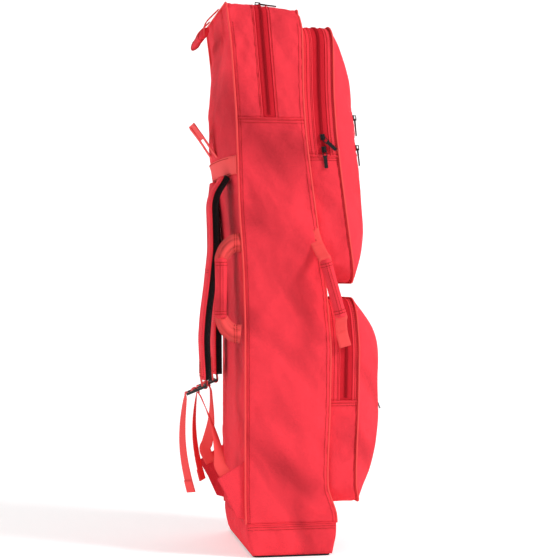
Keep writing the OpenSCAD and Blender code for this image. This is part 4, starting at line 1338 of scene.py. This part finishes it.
def wrapped_grip(name, start, end, radius, body, node, flat=0.86, seam=(1, 0, 0)):
    """A padded grip wrapped in cloth and sewn along one side, with gathered ends."""
    start, end = Vector(start), Vector(end)
    axis = (end - start).normalized()
    out = Vector(seam)
    bm = bmesh.new()
    steps, around = 40, 28
    made = bmesh.ops.create_grid(bm, x_segments=around, y_segments=steps, size=0.5)["verts"]
    side = axis.cross(out).normalized()
    for vert in made:
        k = int(round((vert.co.x + 0.5) * around)) % around
        share = vert.co.y + 0.5
        angle = 2 * math.pi * k / around
        pinch = min(1, math.sqrt(max(0, 1 - max(0, abs(2 * share - 1) - 0.9) ** 2 / 0.0121)) + 0.18)
        fold = 1 + 0.05 * swing(math.cos(angle) * 1.4, math.sin(angle) * 1.4, share * 7)
        bump = 0.1 * math.exp(-((min(k, around - k)) / 1.1) ** 2)
        r = radius * pinch * fold
        vert.co = (start.lerp(end, share) + out * r * (math.cos(angle) + bump) * flat
                   + side * r * math.sin(angle))
    bmesh.ops.remove_doubles(bm, verts=bm.verts, dist=0.05 * MM)
    rims = [e for e in bm.edges if e.is_boundary]
    bmesh.ops.holes_fill(bm, edges=rims, sides=0)
    bmesh.ops.recalc_face_normals(bm, faces=bm.faces)
    grip = finish_piece(name, bm, fabric_finish(), body, "fabric", (node,) if node else ())
    rows = []
    for offset in (3.5 * MM, -3.5 * MM):
        rows.append([start.lerp(end, 0.08 + 0.84 * k / 20) + out * radius + side * offset for k in range(21)])
    for share in (0.07, 0.12, 0.88, 0.93):
        rows.append([start.lerp(end, share) + out * radius * math.cos(a) + side * radius * math.sin(a)
                     for a in (2 * math.pi * k / 24 for k in range(25))])
    stitch_lines(name + "_stitches", rows, [grip], body)


def build_top_handle():
    """The grab handle that hangs from the top of the back."""
    low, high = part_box("top_handle_grip")
    radius = (high.z - low.z) / 2
    middle = (low + high) / 2
    wrapped_grip("top_handle_wrap", (low.x + 4 * MM, middle.y, middle.z),
                 (high.x - 4 * MM, middle.y, middle.z), radius * 1.05, "top_handle", "top_handle_grip",
                 flat=0.55, seam=(0, 0.8, 0.6))
    web_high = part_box("top_handle_webbing")[1]
    hinge = joint_place("top_handle_swing")
    leg = 26 * MM
    bm = bmesh.new()
    for side in (LEFT, RIGHT):
        x = side * (web_high.x - leg / 2)
        route = smooth_route([(x, hinge.y - 1 * MM, hinge.z + 1 * MM),
                              (x, hinge.y + 12 * MM, hinge.z - 12 * MM),
                              (x, middle.y - 4 * MM, middle.z + 22 * MM), (x, middle.y, middle.z + 6 * MM),
                              (x, middle.y, middle.z - 6 * MM)], 6)
        add_sweep(bm, route, strap_section(leg, HANDLE_WEBBING_T), constant(-side, 0, 0))
    finish_piece("top_handle_legs", bm, webbing_finish(), "top_handle", "webbing", ("top_handle_webbing",))


def build_haul_loop():
    """The flat loop of webbing that stands out from the yoke."""
    hinge = joint_place("haul_loop_swing")
    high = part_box("haul_loop")[1]
    half = high.x
    tip = Vector((0, high.y - 1 * MM, high.z - 2 * MM))
    start = Vector((0, hinge.y + back_crown(0, hinge.z) + 1 * MM, hinge.z + 1 * MM))
    reach = (tip - start).length
    up = (tip - start).normalized()
    out = Vector((0, -up.z, up.y))
    leg_w, band_w, t = 22 * MM, 38 * MM, 1.6 * MM
    bm = bmesh.new()
    for side in (LEFT, RIGHT):
        foot = start + Vector((side * (half - leg_w / 2 - 0.5 * MM), 0, 0))
        route = smooth_route([foot, foot + up * 20 * MM, foot + up * 50 * MM + out * 1 * MM,
                              foot + up * (reach - 4 * MM)], 6)
        add_sweep(bm, route, strap_section(leg_w, t), constant(1, 0, 0))
    centre = start + up * (reach - band_w / 2) + out * 2.2 * MM
    route = [centre + Vector(((half - 1 * MM) * s, 0, 0)) + out * 1.2 * MM * math.cos(math.pi * s)
             for s in (k / 12 - 1 for k in range(25))]
    add_sweep(bm, route, strap_section(band_w, t), lambda share: up)
    loop = finish_piece("haul_loop_webbing", bm, webbing_finish(), "haul_loop", "webbing", ("haul_loop",))
    rows = []
    for side in (LEFT, RIGHT):
        a, b = side * (half - 5 * MM), side * (half - leg_w + 4 * MM)
        c, d = -band_w / 2 + 5 * MM, band_w / 2 - 5 * MM
        for p, q in (((a, c), (b, c)), ((b, c), (b, d)), ((b, d), (a, d)), ((a, d), (a, c)), ((a, c), (b, d)),
                     ((b, c), (a, d))):
            rows.append([centre + Vector((p[0] + (q[0] - p[0]) * k / 8, 0, 0))
                         + up * (p[1] + (q[1] - p[1]) * k / 8) + out * 2 * MM for k in range(9)])
    stitch_lines("haul_loop_stitches", rows, [loop], "haul_loop")


def flat_leg(bm, route, widths, thick, face):
    """A webbing leg that bends in its own plane and narrows towards the grip."""
    section = strap_section(1.0, 1.0)
    count = len(route)
    made = bmesh.ops.create_grid(bm, x_segments=len(section), y_segments=count - 1, size=0.5)["verts"]
    for vert in made:
        k = int(round((vert.co.x + 0.5) * len(section))) % len(section)
        i = int(round((vert.co.y + 0.5) * (count - 1)))
        ahead = (route[min(i + 1, count - 1)] - route[max(i - 1, 0)]).normalized()
        side = ahead.cross(face).normalized()
        width = float(np.interp(i / (count - 1), [0, 0.5, 1], widths))
        vert.co = route[i] + side * section[k][0] * width + face * section[k][1] * thick
    close_sweep(bm, made)


def build_back_handle():
    """The wrapped side handle behind the back seam."""
    low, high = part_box("back_handle")
    middle_z = (low.z + high.z) / 2
    half = (high.z - low.z) / 2
    face = Vector((1, 0, 0))
    grip_y = high.y - 13 * MM
    x = low.x + 12 * MM
    y0 = low.y
    bm = bmesh.new()
    for up in (1, -1):
        route = smooth_route([(x, y0 - 5 * MM, middle_z + up * (half - 19 * MM)),
                              (x, y0 + 10 * MM, middle_z + up * (half - 21 * MM)),
                              (x, y0 + 24 * MM, middle_z + up * (half - 32 * MM)),
                              (x, grip_y - 1 * MM, middle_z + up * (half - 50 * MM)),
                              (x, grip_y, middle_z + up * (half - 66 * MM))], 6)
        flat_leg(bm, route, (38 * MM, 33 * MM, 22 * MM), HANDLE_WEBBING_T, face)
    legs = finish_piece("back_handle_legs", bm, webbing_finish(), "back_handle", "webbing", ("back_handle",))
    wrapped_grip("back_handle_wrap", (x, grip_y, middle_z - half + 50 * MM),
                 (x, grip_y, middle_z + half - 50 * MM), SIDE_GRIP_R, "back_handle", None, seam=(-1, 0, 0))
    rows = []
    for up in (1, -1):
        for off in (3 * MM, 8 * MM):
            z = middle_z + up * (half - 19 * MM)
            rows.append([Vector((x - 3 * MM, y0 + off, z + 17 * MM * (k / 8 - 1))) for k in range(17)])
    stitch_lines("back_handle_stitches", rows, [legs], "back_handle")


def build_front_handle():
    """The wrapped side handle that stands out in front of the front seam."""
    middle = joint_place("front_handle_swing")
    stand, anchor, grip = 30 * MM, 86 * MM, 60 * MM

    def at(x, y, z):
        """A place in the handle's own slanted frame."""
        return middle + FRONT_HANDLE_TILT @ Vector((x, y, z))

    bm = bmesh.new()
    for up in (1, -1):
        route = smooth_route([at(2 * MM, 0, up * (anchor + 3 * MM)), at(-3 * MM, 0, up * (anchor - 4 * MM)),
                              at(-stand * 0.5, 0, up * (anchor - 15 * MM)), at(-stand, 0, up * (grip + 2 * MM)),
                              at(-stand, 0, up * (grip - 12 * MM))], 6)
        add_sweep(bm, route, strap_section(STRAP_WEBBING_W, HANDLE_WEBBING_T),
                  constant(*(FRONT_HANDLE_TILT @ Vector((0, 1, 0)))))
    finish_piece("front_handle_legs", bm, webbing_finish(), "front_handle", "webbing", ("front_handle",))
    wrapped_grip("front_handle_wrap", at(-stand, 0, -grip), at(-stand, 0, grip), SIDE_GRIP_R,
                 "front_handle", None, seam=(-1, 0, 0))


def build_handle_feet():
    """The sewn feet of the front handle."""
    hinge = joint_place("front_handle_swing")
    bm = bmesh.new()
    tilt = FRONT_HANDLE_TILT
    for up in (1, -1):
        foot = hinge + tilt @ Vector((2 * MM, 0, up * 89 * MM))
        far = foot + tilt @ Vector((5.6 * MM, 0, up * 8 * MM))
        end = foot + tilt @ Vector((6.6 * MM, 0, up * 34 * MM))
        add_sweep(bm, smooth_route([foot, far, end], 6), strap_section(STRAP_WEBBING_W, 2 * MM),
                  constant(*(tilt @ Vector((0, 1, 0)))))
    finish_piece("handle_feet", bm, webbing_finish(), "bag", "webbing")


def build_hardware():
    """Finishes of the moulded and metal pieces, which keep their exact shapes."""
    for name, node in NODES.items():
        if node.hide_render:
            continue
        if "slider" in name or "pull" in name:
            finish, slot = enamel_finish(), "zip_metal"
        elif "buckle" in name:
            finish, slot = plastic_finish(), "buckle"
        elif "board" in name:
            finish, slot = hard_finish("board", (0.14, 0.14, 0.15), 0.7), "board"
        else:
            continue
        node.data.materials.clear()
        node.data.materials.append(finish)


# ---------------------------------------------------------------- stage

def build_stage():
    """Pale floor and backdrop, soft light and the camera."""
    _, _, stage = settings()
    bm = bmesh.new()
    bmesh.ops.create_grid(bm, x_segments=1, y_segments=24, size=0.5)
    for vert in bm.verts:
        share = vert.co.y + 0.5
        run = 6.0 * share
        bend = max(0.0, run - 3.6)
        vert.co = Vector((vert.co.x * 14, run - bend * 0.6 - 1.5 if bend else run - 1.5, bend * bend * 0.8))
    floor = loose_object("floor", bm)
    floor.data.shade_smooth()
    floor.rotation_euler.z = stage.azimuth - math.pi * 2
    material = bpy.data.materials.new("paper")
    material.use_nodes = True
    shader = material.node_tree.nodes["Principled BSDF"]
    shader.inputs["Base Color"].default_value = (0.9, 0.9, 0.9, 1)
    shader.inputs["Roughness"].default_value = 0.9
    shader.inputs["Emission Color"].default_value = (1, 1, 1, 1)
    shader.inputs["Emission Strength"].default_value = 0.32
    floor.data.materials.append(material)
    looking = Vector((-math.sin(stage.azimuth), math.cos(stage.azimuth), 0))
    right = Vector((looking.y, -looking.x, 0))
    target = Vector((0, 0, 0.5555)) + right * 0.004
    for name, spot, size, power in (("key", right * 2.5 - looking * 1.3 + Vector((0, 0, 2.1)), 0.9, 92),
                                    ("fill", -looking * 3.0 - right * 0.8 + Vector((0, 0, 0.4)), 2.4, 20),
                                    ("back light", Vector((0, 0, 0.9)) - right * 2.8 - looking * 0.2, 1.8, 21)):
        lamp = bpy.data.lights.new(name, "AREA")
        lamp.size = size
        lamp.energy = power
        holder = bpy.data.objects.new(name, lamp)
        holder.location = target + spot
        holder.rotation_euler = (-spot).to_track_quat("-Z", "Y").to_euler()
        bpy.context.scene.collection.objects.link(holder)
    world = bpy.context.scene.world or bpy.data.worlds.new("studio")
    bpy.context.scene.world = world
    world.use_nodes = True
    world.node_tree.nodes["Background"].inputs["Color"].default_value = (1, 1, 1, 1)
    world.node_tree.nodes["Background"].inputs["Strength"].default_value = 0.36
    eye = bpy.data.cameras.new("camera")
    eye.lens = stage.lens
    eye.sensor_width = 36
    camera = bpy.data.objects.new("camera", eye)
    camera.location = target - looking * stage.distance
    camera.rotation_euler = looking.to_track_quat("-Z", "Y").to_euler()
    bpy.context.scene.collection.objects.link(camera)
    bpy.context.scene.camera = camera
    bpy.context.scene.view_settings.view_transform = "Standard"


# ---------------------------------------------------------------- add-on

built = {}


class BAG_OT_shell(bpy.types.Operator):
    """Build the filled shell of the body"""
    bl_idname = "bag.shell"
    bl_label = "Shell"

    def execute(self, context):
        built["shell"] = build_shell()
        build_base()
        return {"FINISHED"}


class BAG_OT_pockets(bpy.types.Operator):
    """Build the two front pockets"""
    bl_idname = "bag.pockets"
    bl_label = "Pockets"

    def execute(self, context):
        built["pockets"], built["panels"] = [], {}
        for name, seed in (("upper_pocket", 21.0), ("lower_pocket", 47.0)):
            pocket, parts = build_pocket(name, seed)
            built["pockets"].append(pocket)
            built["panels"][name] = parts
        return {"FINISHED"}


class BAG_OT_trim(bpy.types.Operator):
    """Add piping, zips, folds and stitches"""
    bl_idname = "bag.trim"
    bl_label = "Piping and zips"

    def execute(self, context):
        build_piping(built["pockets"])
        build_zips(built["shell"], built["pockets"], built["panels"])
        build_face_zips(built["panels"])
        return {"FINISHED"}


class BAG_OT_yoke(bpy.types.Operator):
    """Add the yoke and the anchor wings"""
    bl_idname = "bag.yoke"
    bl_label = "Yoke and wings"

    def execute(self, context):
        build_yoke(built["shell"])
        build_wings()
        return {"FINISHED"}


class BAG_OT_straps(bpy.types.Operator):
    """Build the shoulder straps with their webbing"""
    bl_idname = "bag.straps"
    bl_label = "Shoulder straps"

    def execute(self, context):
        for side in (LEFT, RIGHT):
            x, bar = build_strap(side)
            build_lower_webbing(side, x, bar)
        return {"FINISHED"}


class BAG_OT_handles(bpy.types.Operator):
    """Build the handles and the haul loop"""
    bl_idname = "bag.handles"
    bl_label = "Handles"

    def execute(self, context):
        build_top_handle()
        build_haul_loop()
        build_back_handle()
        build_front_handle()
        build_handle_feet()
        return {"FINISHED"}


class BAG_OT_hardware(bpy.types.Operator):
    """Finish the buckles, sliders and pulls"""
    bl_idname = "bag.hardware"
    bl_label = "Hardware"

    def execute(self, context):
        build_hardware()
        return {"FINISHED"}


class BAG_OT_stage(bpy.types.Operator):
    """Set up the floor, light and camera"""
    bl_idname = "bag.stage"
    bl_label = "Stage"

    def execute(self, context):
        build_stage()
        return {"FINISHED"}


OPERATORS = (BAG_OT_shell, BAG_OT_pockets, BAG_OT_trim, BAG_OT_yoke, BAG_OT_straps, BAG_OT_handles,
             BAG_OT_hardware, BAG_OT_stage)


class BAG_PT_panel(bpy.types.Panel):
    """Sizes, colours and building steps"""
    bl_idname = "BAG_PT_panel"
    bl_label = "Hockey Kit Bag"
    bl_space_type = "VIEW_3D"
    bl_region_type = "UI"
    bl_category = "Kit Bag"

    def draw(self, context):
        for group in (context.scene.bag_fabric, context.scene.bag_trim, context.scene.bag_stage):
            for name in group.__annotations__:
                self.layout.prop(group, name)
        for operator in OPERATORS:
            self.layout.operator(operator.bl_idname)


CLASSES = (BagFabric, BagTrim, BagStage, *OPERATORS, BAG_PT_panel)


def register():
    """Adds the settings, the operators and the panel."""
    for cls in CLASSES:
        bpy.utils.register_class(cls)
    bpy.types.Scene.bag_fabric = PointerProperty(type=BagFabric)
    bpy.types.Scene.bag_trim = PointerProperty(type=BagTrim)
    bpy.types.Scene.bag_stage = PointerProperty(type=BagStage)


def unregister():
    """Takes them away again."""
    for name in ("bag_fabric", "bag_trim", "bag_stage"):
        delattr(bpy.types.Scene, name)
    for cls in reversed(CLASSES):
        bpy.utils.unregister_class(cls)


def main():
    """Registers the add-on and builds the bag."""
    register()
    for step in (bpy.ops.bag.shell, bpy.ops.bag.pockets, bpy.ops.bag.trim, bpy.ops.bag.yoke, bpy.ops.bag.straps,
                 bpy.ops.bag.handles, bpy.ops.bag.hardware, bpy.ops.bag.stage):
        step()


if __name__ == "__main__":
    main()
